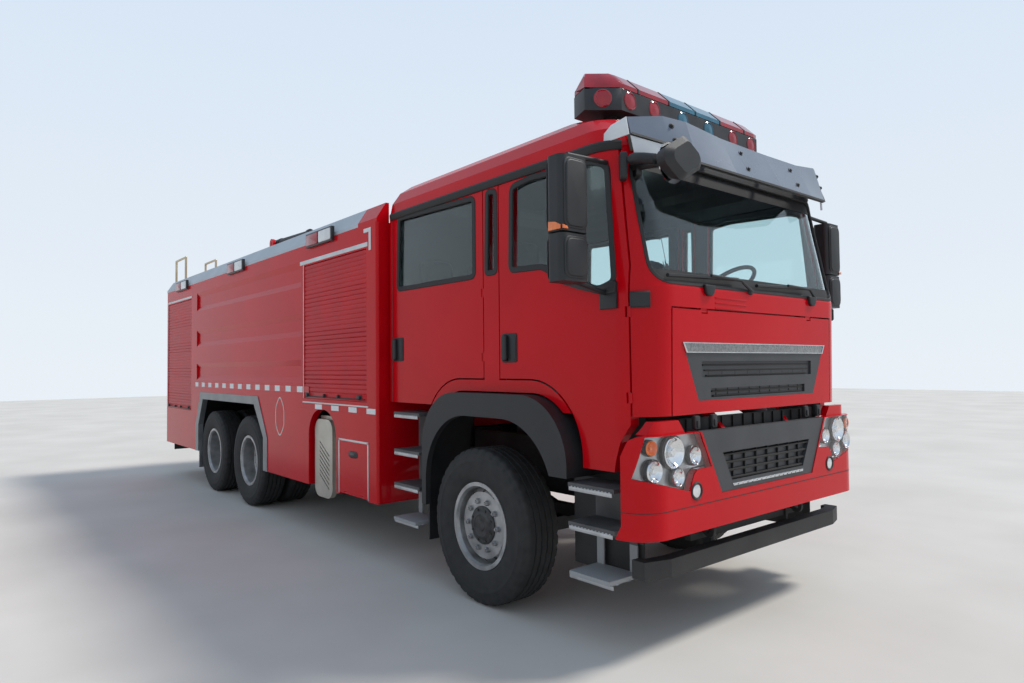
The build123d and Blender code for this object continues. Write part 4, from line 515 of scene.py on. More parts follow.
# Door handles: a black plastic panel in each door with an upright grip, moulded in two shells and
# screwed on from inside the door.
def rounded(centre, across, upwards, wide, high, radius, steps=4):
    """The outline of a rectangle with round corners, about a centre, in the plane of two directions."""
    points = []
    for a, b, start in ((1, 1, 0), (-1, 1, 90), (-1, -1, 180), (1, -1, 270)):
        for step in range(steps + 1):
            angle = math.radians(start + 90 * step / steps)
            points.append(centre + across * (a * (wide / 2 - radius) + radius * math.cos(angle))
                          + upwards * (b * (high / 2 - radius) + radius * math.sin(angle)))
    return points


def slab(mesh, outline, depth, bevel=0.0, steps=2):
    """Adds a flat form: an outline of points, given depth, with its edges rounded."""
    low = [mesh.verts.new(point) for point in outline]
    high = [mesh.verts.new(point + Vector(depth)) for point in outline]
    faces = [mesh.faces.new(low[::-1]), mesh.faces.new(high)]
    for i in range(len(low)):
        j = (i + 1) % len(low)
        faces.append(mesh.faces.new([low[i], low[j], high[j], high[i]]))
    if bevel:
        rims = [edge for face in faces[:2] for edge in face.edges]
        bmesh.ops.bevel(mesh, geom=rims, offset=bevel, segments=steps, profile=0.5, affect="EDGES",
                        clamp_overlap=True)


FORWARD, LEFT, UP = Vector((1, 0, 0)), Vector((0, 1, 0)), Vector((0, 0, 1))
for side, side_name in SIDES:
    for door, middle, z, wide in (("rear_door", -1.160, 1.780, 0.160), ("front_door", 0.290, 1.755, 0.155)):
        y = side * CAB_HALF
        mesh = bmesh.new()
        # each shell's offsets ahead and inwards, width, height, corner, depth, bevel and its steps
        for ahead_by, inwards, width, high, corner, deep, bevel, steps in (
                (0.0, 0.004, wide, 0.195, 0.018, 0.011, 0.004, 2),
                (0.030, 0.0, 0.080, 0.165, 0.022, 0.0105, 0.003, 2),
                (-0.032, 0.0, 0.050, 0.178, 0.020, 0.034, 0.010, 3)):
            slab(mesh, rounded(at(middle + ahead_by, y - side * inwards, z), FORWARD, UP, width, high, corner),
                 (0, side * deep, 0), bevel, steps)
        made(f"{door}_handle_{side_name}", mesh, black_plastic, f"{door}_{side_name}")

# Main mirrors: black plastic housings on tube arms. Each has two glasses that look to the rear, a
# rubber frame round them, and a flasher in the gap between the housings.
mirror_glass = bpy.data.materials.new("mirror_glass")
shader = node_tree(mirror_glass)[1]
shader.inputs["Base Color"].default_value = (0.75, 0.78, 0.80, 1)
shader.inputs["Metallic"].default_value = 1.0
shader.inputs["Roughness"].default_value = 0.04
amber = finish("amber_lens", ((0.75, 0.14, 0.02), (0.85, 0.22, 0.04)), 20.0, (0.1, 0.2), coat=0.8,
               grain=(300.0, 0.1))
MIRROR_HOUSINGS = ((2.345, 2.755), (2.080, 2.335))
# layer, finish, slot, and its forms: distance, width, how much shorter than the housing, corner, depth, bevel, steps
MIRROR_LAYERS = (
    ("frame", seal_rubber, "black_plastic", ((1.1262, 0.176, 0.024, 0.030, -0.0075, 0.002, 2),)),
    ("glass", mirror_glass, "window_glass", ((1.1200, 0.160, 0.040, 0.026, -0.003, 0.0008, 2),)),
    ("back", black_plastic, "black_plastic", ((1.2485, 0.172, 0.030, 0.040, 0.010, 0.009, 3),
                                              (1.2485, 0.152, 0.050, 0.040, 0.017, 0.009, 3))))
BRACKET = ((0.745, 2.212), (0.790, 2.140), (0.960, 2.085), (1.130, 2.040), (1.248, 2.040), (1.248, 2.100),
           (1.236, 2.112), (1.105, 2.078), (0.770, 2.190))
BRACKET_FOOT = ((1.125, 1.952), (1.250, 1.952), (1.250, 2.045), (1.125, 2.045))
BRACKET_COVER = [(-0.046, 0), (-0.046, 0.014), (-0.036, 0.024), (0.036, 0.024), (0.046, 0.014), (0.046, 0)]
for side, side_name in SIDES:
    body = f"front_door_{side_name}"
    centre_y = side * 1.475
    for layer, material, slot, forms in MIRROR_LAYERS:
        mesh = bmesh.new()
        for low, high in MIRROR_HOUSINGS:
            for distance, wide, shorter, radius, deep, bevel, steps in forms:
                middle = at(distance, centre_y, (low + high) / 2)
                slab(mesh, rounded(middle, LEFT, UP, wide, high - low - shorter, radius), (deep, 0, 0), bevel, steps)
        made(f"mirror_{layer}_{side_name}", mesh, material, body)
    # the flasher fills half of the gap between the housings
    mesh = bmesh.new()
    slab(mesh, [at(x, centre_y + side * 0.101, z) for x, z in
                ((1.150, 2.352), (1.244, 2.352), (1.244, 2.374), (1.205, 2.394), (1.150, 2.402))],
         (0, side * 0.0065, 0), 0.003)
    slab(mesh, [at(1.252, centre_y + side * out, z) for out, z in
                ((0.100, 2.353), (0.062, 2.353), (0.068, 2.368), (0.100, 2.374))], (0.010, 0, 0), 0.003)
    made(f"mirror_flasher_{side_name}", mesh, amber, body)
    # bracket at the lower front corner of the door's window, and the cover across the seam below it
    mesh = bmesh.new()
    for outline, sunk, deep in ((BRACKET, 0.004, 0.030), (BRACKET_FOOT, 0.006, 0.026)):
        slab(mesh, [at(x, side * (cab_side(x, z) - sunk), z) for x, z in outline], (0, side * deep, 0), 0.006)
    made(f"mirror_bracket_{side_name}", mesh, black_plastic, body)
    path, outwards = [], []
    for step in range(15):
        turn = math.radians(25 + 26 * step / 14)
        reach = CAB_CORNER - 0.002
        path.append(at(nose(1.99) - CAB_CORNER + reach * math.sin(turn),
                       side * (CAB_HALF - CAB_CORNER + reach * math.cos(turn)), 1.995))
        outwards.append((math.sin(turn), side * math.cos(turn), 0))
    mesh = bmesh.new()
    strip(mesh, path, BRACKET_COVER, outwards)
    made(f"mirror_bracket_cover_{side_name}", mesh, black_plastic, "cab")

# Kerb mirror: a round glass in a black housing over the windscreen, which looks down beside the bumper.
# Its sleeved arm stands on a moulded foot on the cab's corner.
def rod(mesh, points, radius, sides=10):
    """Adds a round bar through points."""
    rings = []
    for i, point in enumerate(points):
        along = (points[min(i + 1, len(points) - 1)] - points[max(i - 1, 0)]).normalized()
        across = along.orthogonal().normalized() if i == 0 else (across - across.dot(along) * along).normalized()
        over_it = along.cross(across)
        rings.append([mesh.verts.new(point + radius * (math.cos(a) * across + math.sin(a) * over_it))
                      for a in (2 * math.pi * k / sides for k in range(sides))])
    skinned(mesh, rings, capped=True)


mesh = bmesh.new()
turned(mesh, [(0.112, 0.0), (0.112, -0.004), (0.104, -0.008), (0, -0.004)], at(1.5985, -1.095, 2.705), (1, 0, 0), 40)
made("kerb_mirror_glass", mesh, mirror_glass, "cab")
mesh = bmesh.new()
for middle, along, wide, high, deep in (
        (at(1.268, -1.018, 2.768), Vector((0.8, -0.6, 0)), 0.16, 0.13, (0.022, 0.030, 0)),
        (at(1.245, -1.110, 2.760), Vector((0.75, -0.66, 0)), 0.10, 0.16, (0.030, 0.026, 0))):
    slab(mesh, rounded(middle, along, UP, wide, high, 0.03), deep, 0.008)
made("kerb_mirror_foot", mesh, black_plastic, "cab")
mesh = bmesh.new()
arm = [at(1.330, -1.100, 2.785), at(1.370, -1.125, 2.780), at(1.430, -1.125, 2.765), at(1.500, -1.110, 2.745)]
rod(mesh, arm, 0.030, 16)
made("kerb_mirror_sleeve", mesh, black_plastic, "cab")

# Sun visor: a moulded blade with a pale end plate at each side, held by eight screws with washers.
# A return lip runs along its lower edge.
VISOR = ((0, (1.625, 2.735), (1.500, 2.982)), (0.450, (1.592, 2.750), (1.480, 2.998)),
         (0.760, (1.530, 2.780), (1.450, 3.040)), (0.900, (1.440, 2.880), (1.392, 3.060)),
         (1.110, (1.335, 2.930), (1.308, 3.032)))


def visor_point(y, share):
    """A point of the blade's face, at a side and a share of the way from its lower to its upper edge."""
    for (y0, low0, high0), (y1, low1, high1) in zip(VISOR, VISOR[1:]):
        if abs(y) <= y1 or y1 == VISOR[-1][0]:
            part = (abs(y) - y0) / (y1 - y0)
            low = Vector(low0).lerp(Vector(low1), part)
            high = Vector(high0).lerp(Vector(high1), part)
            x, z = low.lerp(high, share)
            return at(x, y, z)


pale_panel = finish("pale_panel", ((0.62, 0.64, 0.66), (0.72, 0.74, 0.76)), 5.0, (0.3, 0.45), grain=(300.0, 0.1))
mesh = bmesh.new()
for y in (-0.86, -0.30, 0.30, 0.86):
    for share in (0.30, 0.74):
        spot = visor_point(y, share)
        slope = visor_point(y, share + 0.05) - visor_point(y, share - 0.05)
        normal = slope.cross(visor_point(y + 0.02, share) - visor_point(y - 0.02, share))
        normal = (normal if normal.x > 0 else -normal).normalized()
        turned(mesh, [(0.017, -0.001), (0.017, 0.0025), (0.011, 0.004), (0.009, 0.010), (0.005, 0.0125), (0, 0.0125)],
               spot, normal, 12)
made("visor_screws", mesh, seal_rubber, "cab")
mesh = bmesh.new()
path = [visor_point(-1.105 + 2.21 * step / 52, 0.02) for step in range(53)]
strip(mesh, path, [(-0.007, -0.018), (-0.007, 0.003), (0.007, 0.003), (0.007, -0.018)], (1, 0, 0.2))
made("visor_lip", mesh, seal_rubber, "cab")
for side, side_name in SIDES:
    mesh = bmesh.new()
    plate = [at(1.330, side * 1.118, 2.925), at(1.310, side * 1.118, 3.030), at(1.180, side * 1.100, 3.020),
             at(1.090, side * 1.100, 2.960), at(1.110, side * 1.112, 2.925)]
    slab(mesh, plate, (0, side * 0.006, 0), 0.002)
    slab(mesh, [at(1.425, side * 0.915, 2.760), at(1.338, side * 1.085, 2.800), at(1.322, side * 1.102, 2.922),
                at(1.415, side * 0.925, 2.880)], (0.008, side * 0.006, 0), 0.002)
    made(f"visor_end_plate_{side_name}", mesh, pale_panel, "cab")

# Light bar: clear coloured covers over a black tray, with ribs where they join, and a lamp with its
# reflector behind each cover. The outer covers are red and the middle ones blue.
lens_red = finish("lens_red", ((0.26, 0.003, 0.012), (0.38, 0.006, 0.018)), 8.0, (0.08, 0.16), coat=0.5,
                  grain=(140.0, 0.08))
lens_blue = finish("lens_blue", ((0.010, 0.10, 0.17), (0.025, 0.18, 0.28)), 8.0, (0.08, 0.16), coat=0.5,
                   grain=(140.0, 0.08))
BAR_LOW, BAR_FOOT, BAR_TOP, BAR_HALF = 3.240, 3.385, 3.505, 0.970
BAR_FRONT, BAR_REAR, COVER_CHAMFER = 0.990, 0.690, 0.090
LAMP_Z, OUTER_LAMP_Y = 3.316, 0.705
BAR_LAMP = [(0.058, -0.014), (0.058, 0.002), (0.051, 0.006), (0.046, 0.002), (0.030, 0.003), (0.012, 0.007),
            (0, 0.0075)]


def bar_outline(y, grow=0.0):
    """Front and rear edges of the light bar at a side."""
    reach = abs(y)
    front = BAR_FRONT if reach < 0.79 else BAR_FRONT - 0.150 * (reach - 0.79) / 0.18
    rear = BAR_REAR if reach < 0.91 else BAR_REAR + 0.150 * (reach - 0.91) / 0.06
    return front + grow, rear - grow


def bar_module(mesh, y0, y1, low, top, inset, chamfer):
    """Adds one stretch of the bar, with its upper edges cut off."""
    rings = []
    count = max(2, round((y1 - y0) / 0.06)) + 1
    for step in range(count):
        y = y0 + (y1 - y0) * step / (count - 1)
        front, rear = bar_outline(y, -inset)
        front, rear = max(front, 0.846), min(rear, 0.834)
        cut = min(chamfer, (front - rear) / 2 - 0.002)
        fall = chamfer * 0.6 if abs(y) > 0.93 else 0.0
        rings.append([mesh.verts.new(at(x, y, z)) for x, z in (
            (rear, low), (front, low), (front, top - chamfer - fall), (front - cut, top - fall),
            (rear + cut, top - fall), (rear, top - chamfer - fall))])
    skinned(mesh, rings, capped=True)


mesh = bmesh.new()
bar_module(mesh, -BAR_HALF, BAR_HALF, BAR_LOW, BAR_FOOT, 0.0, 0.008)
for y in (-0.62, -0.30, 0.0, 0.30, 0.62):
    bar_module(mesh, y - 0.006, y + 0.006, BAR_FOOT, BAR_TOP, 0.001, COVER_CHAMFER)
for y in (-0.70, 0.70):
    slab(mesh, rounded(at(0.84, y, BAR_LOW - 0.118), FORWARD, LEFT, 0.12, 0.08, 0.012), (0, 0, 0.125), 0.004)
tray = made("light_bar_tray", mesh, lamp_black, "cab")
covers = [("red_outer_right", -0.968, -0.627, lens_red), ("red_inner_right", -0.613, -0.307, lens_red),
          ("blue_right", -0.293, -0.007, lens_blue), ("blue_left", 0.007, 0.293, lens_blue),
          ("red_inner_left", 0.307, 0.613, lens_red), ("red_outer_left", 0.627, 0.968, lens_red)]
for name, y0, y1, material in covers:
    mesh = bmesh.new()
    bar_module(mesh, y0, y1, BAR_FOOT + 0.001, BAR_TOP - 0.001, 0.004, COVER_CHAMFER)
    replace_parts(made(f"light_bar_{name}", mesh, material, "cab"), "light_bar")
    mesh = bmesh.new()
    side = 1 if y0 > 0 else -1
    middle = side * OUTER_LAMP_Y if "outer" in name else (y0 + y1) / 2
    spots = [(at(BAR_FRONT, middle, LAMP_Z), (1, 0, 0)), (at(BAR_REAR, middle, LAMP_Z), (-1, 0, 0))]
    if "outer" in name:
        # the corner lamp looks outwards from the slanted end
        spots.append((at(0.915, side * 0.880, LAMP_Z), (0.768, side * 0.640, 0)))
    for spot, facing in spots:
        turned(mesh, BAR_LAMP, spot, facing, 32)
    made(f"light_bar_lamp_{name}", mesh, material, "cab", soften=20)
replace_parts(tray, "light_bar")

# Front panel: under the windscreen, a lid of pressed steel in the cab's red with a bright strip across
# it, two short pressed ribs above its right end, and a row of slats in the dark grille below.
def front_plate(mesh, x, right, left, low, high, deep, bevel=0.0):
    """Adds an upright rectangular plate that faces ahead, from its rear face's distance and its depth."""
    slab(mesh, [at(x, right, low), at(x, left, low), at(x, left, high), at(x, right, high)], (deep, 0, 0), bevel)


def side_plate(mesh, rear, front, y, low, high, deep, bevel=0.0):
    """Adds an upright rectangular plate that faces sideways, from one face's side and its depth."""
    slab(mesh, [at(rear, y, low), at(front, y, low), at(front, y, high), at(rear, y, high)], (0, deep, 0), bevel)


chrome = finish("bright_strip", ((0.55, 0.56, 0.57), (0.72, 0.73, 0.74)), 12.0, (0.12, 0.22), metallic=1.0,
                grain=None)
strip_silver = finish("strip_silver", ((0.20, 0.205, 0.21), (0.34, 0.345, 0.35)), 60.0, (0.2, 0.35), metallic=0.8,
                      grain=(260.0, 0.3))
mesh = bmesh.new()
STRIP_FOOT, STRIP_HEAD, STRIP_EDGE = 1.703, 1.757, 0.0035
for z in (STRIP_HEAD, STRIP_FOOT):
    half = 0.838 - (STRIP_HEAD - z) * 0.6
    front_plate(mesh, nose(z) - 0.003, -half, half, z - STRIP_EDGE, z + STRIP_EDGE, 0.012, 0.002)
for side in (-1, 1):
    slab(mesh, [at(nose(1.73) - 0.003, side * y, z) for y, z in
                ((0.838, 1.7605), (0.826, 1.7605), (0.792, 1.6995), (0.806, 1.6995))], (0.012, 0, 0), 0.002)
made("front_strip_edges", mesh, chrome, "front_lid")
mesh = bmesh.new()
slab(mesh, [at(nose(1.73) - 0.004, y, z) for y, z in
            ((-0.832, STRIP_HEAD), (-0.798, STRIP_FOOT), (0.798, STRIP_FOOT), (0.832, STRIP_HEAD))],
     (0.0095, 0, 0), 0.002)
made("front_strip", mesh, strip_silver, "front_lid")
mesh = bmesh.new()
for z in (1.968, 1.999, 2.030):
    slab(mesh, rounded(at(nose(z) - 0.004, -0.345, z), LEFT, UP, 0.340, 0.011, 0.005), (0.008, 0, 0), 0.003)
made("front_ribs", mesh, red, "cab")
grille_black = finish("grille_black", ((0.006, 0.006, 0.007), (0.014, 0.014, 0.015)), 12.0, (0.5, 0.7),
                      grain=(500.0, 0.2))
mesh = bmesh.new()
GRILLE_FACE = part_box("upper_grille")[1][0] - AXLE
for low, top, half in ((1.556, 1.650, 0.650), (1.437, 1.490, 0.560)):
    count = 3 if top - low > 0.07 else 2
    for k in range(count):
        z = low + (top - low) * (k + 0.5) / count
        slope = half - 0.012 - (top - z) * 0.55
        slab(mesh, [at(GRILLE_FACE - back, -slope, z + rise) for back, rise in
                    ((0.042, -0.006), (0.010, -0.011), (0.006, -0.003), (0.040, 0.004))], (0, 2 * slope, 0), 0.002)
    for k in range(-4, 5):
        y = k * half / 4.6
        side_plate(mesh, GRILLE_FACE - 0.046, GRILLE_FACE - 0.016, y - 0.004, low, top, 0.008, 0.002)
made("upper_grille_slats", mesh, grille_black, "front_lid")
mesh = bmesh.new()
MOUTH_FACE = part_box("lower_grille")[1][0] - AXLE
for k in range(4):
    z = 0.955 + 0.048 * k
    half = 0.420 + (z - 0.94) * 0.52
    slab(mesh, [at(MOUTH_FACE - back, -half, z + rise) for back, rise in
                ((0.030, -0.006), (0.006, -0.010), (0.003, -0.002), (0.030, 0.006))], (0, 2 * half, 0), 0.002)
for k in range(-3, 4):
    side_plate(mesh, MOUTH_FACE - 0.031, MOUTH_FACE - 0.012, k * 0.13 - 0.004, 0.945, 1.110, 0.008, 0.002)
made("lower_grille_slats", mesh, grille_black, "chassis")
mesh = bmesh.new()
slab(mesh, [at(MOUTH_FACE - 0.0305, y, z) for y, z in
            ((-0.424, 0.941), (0.424, 0.941), (0.515, 1.112), (-0.515, 1.112))], (0.003, 0, 0))
made("lower_grille_screen", mesh, grille_black, "chassis")
mesh = bmesh.new()
for k in range(16):
    y = -0.395 + 0.79 * k / 15
    slab(mesh, [at(MOUTH_FACE - 0.004, y + beside, z) for beside, z in
                ((-0.022, 0.905), (0.022, 0.905), (0.018, 0.921), (-0.018, 0.921))], (0.010, 0, 0), 0.003)
front_plate(mesh, MOUTH_FACE - 0.004, -0.420, 0.420, 0.912, 0.922, 0.008, 0.002)
made("lower_grille_teeth", mesh, chrome, "chassis")
mesh = bmesh.new()
for y in (-0.72, -0.55, 0.55, 0.72):
    slab(mesh, rounded(at(1.438, y, 1.298), LEFT, UP, 0.050, 0.078, 0.010), (0.030, 0, 0), 0.006)
    slab(mesh, rounded(at(1.462, y, 1.290), LEFT, UP, 0.026, 0.040, 0.006), (0.014, 0, 0), 0.004)
made("front_latches", mesh, black_plastic, "chassis")
# the radiator's black shroud closes the gap behind the bumper, and a crossmember lies under it
mesh = bmesh.new()
front_plate(mesh, 1.372, -0.780, 0.780, 1.000, 1.318, 0.012, 0.003)
for k in range(13):
    y = -0.72 + 0.12 * k
    front_plate(mesh, 1.384, y - 0.006, y + 0.006, 1.14, 1.312, 0.010, 0.002)
made("radiator_shroud", mesh, grille_black, "chassis")
mesh = bmesh.new()
side_plate(mesh, 1.300, 1.345, -0.640, 0.585, 0.760, 1.28, 0.006)
for y in (-0.52, 0.52):
    turned(mesh, [(0.016, -0.012), (0.040, -0.012), (0.044, 0), (0.040, 0.012), (0.016, 0.012), (0.012, 0)],
           at(1.392, y, 0.640), (0, 1, 0), 28, closed=True)
    side_plate(mesh, 1.340, 1.366, y - 0.010, 0.620, 0.660, 0.020, 0.002)
made("front_crossmember", mesh, chassis_black, "chassis")

# Wipers: two black arms on spindles under the windscreen, each with a flat blade that lies along the
# foot of the glass. A plastic hood covers each spindle and hangs over the lid's upper edge.
BLADE = [(-0.006, -0.006), (-0.012, 0.006), (-0.006, 0.018), (0.006, 0.018), (0.012, 0.006), (0.006, -0.006)]
HOOD = ((-0.052, 2.100), (0.052, 2.100), (0.040, 2.052), (0.022, 2.036), (-0.022, 2.036), (-0.040, 2.052))
mesh = bmesh.new()
for tip_y, end_y, spindle_y in ((-0.960, -0.270, -0.130), (-0.050, 0.600, 0.700)):
    spindle = at(nose(2.09) + 0.004, spindle_y, 2.090)
    turned(mesh, [(0.024, -0.012), (0.024, 0.006), (0.017, 0.015), (0, 0.017)], spindle, (1, 0, 0.1), 20)
    middle_y = (tip_y + end_y) / 2 + 0.05
    arm = [spindle + Vector((0.012, 0, 0)), at(nose(2.13) + 0.026, end_y + 0.02, 2.150),
           at(cab_front(middle_y, 2.15) + 0.028, middle_y, 2.158)]
    rod(mesh, arm, 0.009)
    blade = [at(cab_front(y, 2.15) + 0.010, y, 2.132 + 0.024 * share) for share, y in
             ((k / 10, tip_y + (end_y - tip_y) * k / 10) for k in range(11))]
    strip(mesh, blade, BLADE, (1, 0, 0.1))
# hoods over the panel's hinges, which hang under the windscreen
for hood_y in (-0.585, 0.655):
    slab(mesh, [at(nose(2.06) - 0.002, hood_y + beside, z) for beside, z in HOOD], (0.024, 0, 0), 0.008, 3)
made("wipers", mesh, black_plastic, "cab")

# Headlamps: a clear cover over a silvered housing, with an amber flasher and four round reflectors,
# each with its own lens and bulb shield. The clear covers are the CAD pieces.
def level_at(edge, y):
    """The height of an edge of the lamp's opening at a side."""
    for (y0, z0), (y1, z1) in zip(edge, edge[1:]):
        if y <= y1 or y1 == edge[-1][0]:
            return z0 + (z1 - z0) * (y - y0) / (y1 - y0)


cover = clear("headlamp_cover", (0.97, 0.98, 0.98), roughness=0.01, bending=1.04)
shader = cover.node_tree.nodes["Principled BSDF"]
shader.inputs["Coat Weight"].default_value, shader.inputs["Coat Roughness"].default_value = 1.0, 0.03
coat("headlamps", cover)
reflector = finish("reflector_silver", ((0.70, 0.71, 0.72), (0.85, 0.86, 0.87)), 15.0, (0.06, 0.14), metallic=1.0,
                   grain=None)
housing_silver = finish("housing_silver", ((0.34, 0.35, 0.36), (0.50, 0.51, 0.52)), 6.0, (0.25, 0.4), metallic=0.8,
                        grain=(500.0, 0.06))
lamp_dark = finish("lamp_dark", ((0.02, 0.02, 0.022), (0.05, 0.05, 0.053)), 9.0, (0.25, 0.4), grain=(500.0, 0.1))
TUB_HEAD = ((0.650, 1.062), (0.745, 1.240), (1.174, 1.240), (1.222, 1.028))
TUB_FOOT = ((0.650, 1.048), (0.775, 1.045), (0.815, 1.016), (0.853, 0.931), (1.222, 1.025))
TUB_INNER, TUB_OUTER, TUB_STEPS = 0.652, 1.220, 44
# side, height, radius and kind of each round lamp, and their section as shares of the radius and depths
LAMP_BULBS = ((1.135, 1.184, 0.038, "amber"), (0.965, 1.150, 0.080, "bright"), (0.775, 1.115, 0.048, "bright"),
              (1.119, 1.058, 0.055, "bright"), (0.931, 1.010, 0.046, "bright"))
BOWL = ((1.10, -0.040), (1.10, -0.004), (1.04, 0.0), (0.96, -0.003), (0.86, -0.015), (0.60, -0.028), (0.34, -0.034),
        (0.32, -0.020), (0.24, -0.010), (0, -0.008))
BULB_RING = ((1.20, -0.036), (1.20, -0.012), (1.11, -0.008), (1.11, -0.036))


def lamp_depth(y):
    """How far ahead the bumper's face is at a side, round its corner."""
    past = abs(y) - 1.05
    return 1.5 if past <= 0 else 1.3 + math.sqrt(max(0.0, 0.04 - min(past, 0.2) ** 2))


for side, side_name in SIDES:
    # the silvered tub behind the cover follows the bumper's round corner
    mesh = bmesh.new()
    rings = []
    for step in range(TUB_STEPS + 1):
        y = TUB_INNER + (TUB_OUTER - TUB_INNER) * step / TUB_STEPS
        depth, low, high = lamp_depth(y), level_at(TUB_FOOT, y), level_at(TUB_HEAD, y)
        rings.append([mesh.verts.new(at(depth - back, side * y, z)) for back, z in
                      ((0.0525, low), (0.0525, high), (0.0585, high), (0.0585, low))])
    skinned(mesh, rings, capped=True)
    made(f"headlamp_tub_{side_name}", mesh, housing_silver, "chassis")
    for kind, material in (("bright", reflector), ("amber", amber)):
        mesh = bmesh.new()
        for y, z, radius, tint in LAMP_BULBS:
            if tint != kind:
                continue
            turned(mesh, [(radius * share, depth) for share, depth in BOWL], at(lamp_depth(y) - 0.012, side * y, z),
                   (1, 0, 0), 40)
        made(f"headlamp_{kind}_{side_name}", mesh, material, "chassis", soften=50)
    mesh = bmesh.new()
    for y, z, radius, tint in LAMP_BULBS:
        turned(mesh, [(radius * share, depth) for share, depth in BULB_RING],
               at(lamp_depth(y) - 0.015, side * y, z), (1, 0, 0), 40, closed=True)
    made(f"headlamp_rings_{side_name}", mesh, lamp_dark, "chassis")
    # fog lamp in its black bezel, in the bumper beside the grille
    mesh = bmesh.new()
    turned(mesh, [(0.052, -0.004), (0.052, 0.004), (0.046, 0.008), (0.040, 0.004), (0.040, -0.004)],
           at(1.5, side * 0.790, 0.920), (1, 0, 0), 36, closed=True)
    made(f"fog_lamp_bezel_{side_name}", mesh, black_plastic, "chassis")
    mesh = bmesh.new()
    turned(mesh, [(0.0405, -0.003), (0.036, 0.003), (0.020, 0.007), (0, 0.008)], at(1.5, side * 0.790, 0.920),
           (1, 0, 0), 36)
    made(f"fog_lamp_{side_name}", mesh, reflector, "chassis")

# Bumper seam: the bumper's lower valance is a pressing of its own, so a dark joint runs from one end of
# it to the other, round both corners.
mesh = bmesh.new()
path, outwards = [], []
for step in range(-40, 41):
    y = 1.05 * step / 40
    path.append(at(1.5, y, 0.840))
    outwards.append((1, 0, 0))
for step in range(1, 13):
    turn = math.radians(90 * step / 12)
    for sign, place in ((1, len(path)), (-1, 0)):
        path.insert(place, at(1.3 + 0.2 * math.cos(turn), sign * (1.05 + 0.2 * math.sin(turn)), 0.840))
        outwards.insert(place, (math.cos(turn), sign * math.sin(turn), 0))
strip(mesh, path, [(-0.0025, -0.003), (-0.0025, 0.0006), (0.0025, 0.0006), (0.0025, -0.003)], outwards)
made("bumper_seam", mesh, seal_rubber, "chassis")

# Steps: pressed treads with raised tear-drops and a bright toothed outer edge, bolted to painted plates.
# The stirrups below are galvanised, and a black panel closes the side behind the front steps; this panel is painted
# shade, standing in for the shadow there.
STEP_ROWS = ((0.900, 1.262, (0.418, 0.696, 0.924)), (-1.120, -0.740, (0.410, 0.680, 0.950, 1.250)))
TEAR_DROP = [(0.017, -0.002), (0.015, 0.0035), (0.010, 0.0045), (0.008, -0.001)]
TOOTH = ((-0.008, 1.195), (0.008, 1.195), (0.006, 1.219), (-0.006, 1.219))
TOOTH_PITCH, EDGE_Y = 0.03, 1.2155
STIRRUP_TOP, GALVANISED = 0.60, (0.30, 0.31, 0.32)
step_grey = finish("step_grey", ((0.05, 0.05, 0.052), (0.11, 0.11, 0.112)), 5.0, (0.45, 0.7), grain=(200.0, 0.2))
tree = step_grey.node_tree
recoloured(step_grey, compared(tree, "LESS_THAN", position(tree)["Z"], STIRRUP_TOP), GALVANISED)
coat("cab_steps", step_grey)
step_edge = finish("step_edge", ((0.42, 0.43, 0.44), (0.58, 0.59, 0.60)), 16.0, (0.3, 0.5), metallic=0.7,
                   grain=(300.0, 0.15))
for side, side_name in SIDES:
    mesh, edge = bmesh.new(), bmesh.new()
    for rear, front, heights in STEP_ROWS:
        for z in heights:
            for row in range(4):
                for k in range(6):
                    x = rear + 0.030 + (front - rear - 0.06) * (k + 0.5 * (row % 2)) / 5.6
                    turned(mesh, TEAR_DROP, at(x, side * (1.020 + 0.050 * row), z), UP, 12, closed=True)
            side_plate(edge, rear + 0.012, front - 0.012, side * EDGE_Y, z - 0.022, z + 0.001, side * 0.006, 0.002)
            teeth = round((front - rear) / TOOTH_PITCH)
            for k in range(teeth):
                x = rear + 0.02 + (front - rear - 0.04) * (k + 0.5) / teeth
                slab(edge, [at(x + along, side * y, z - 0.002) for along, y in TOOTH], (0, 0, 0.008), 0.002)
    made(f"step_treads_{side_name}", mesh, step_edge, "chassis")
    # painted shade: a black panel where the side behind the front steps lies in shadow
    mesh = bmesh.new()
    side_plate(mesh, 0.700, 1.262, side * 0.958, 0.395, 0.945, side * 0.006, 0.002)
    made(f"step_shade_panel_{side_name}", mesh, chassis_black, "chassis")
    made(f"step_edges_{side_name}", edge, step_edge, "chassis")

# Markings of the body: squares of red and white reflecting tape under the panels, a black band with four
# white squares under the front shutter, and pale edge strips over the shutters and at the front corner.
tape_white = finish("tape_white", ((0.66, 0.67, 0.68), (0.78, 0.79, 0.80)), 60.0, (0.3, 0.45), grain=(700.0, 0.1))
tape_red = finish("tape_red", ((0.50, 0.012, 0.016), (0.60, 0.02, 0.024)), 60.0, (0.3, 0.45), grain=(700.0, 0.1))
tape_black = finish("tape_black", ((0.012, 0.012, 0.013), (0.025, 0.025, 0.026)), 12.0, (0.3, 0.5),
                    grain=(500.0, 0.1))
edge_silver = finish("edge_silver", ((0.55, 0.56, 0.57), (0.70, 0.71, 0.72)), 6.0, (0.25, 0.4), metallic=0.7,
                     grain=(300.0, 0.08))
BODY_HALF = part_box("body_shell")[1][1]
TAPE_LOW, TAPE_HIGH, TAPE_PITCH, TAPES = 1.392, 1.452, 0.303, 13
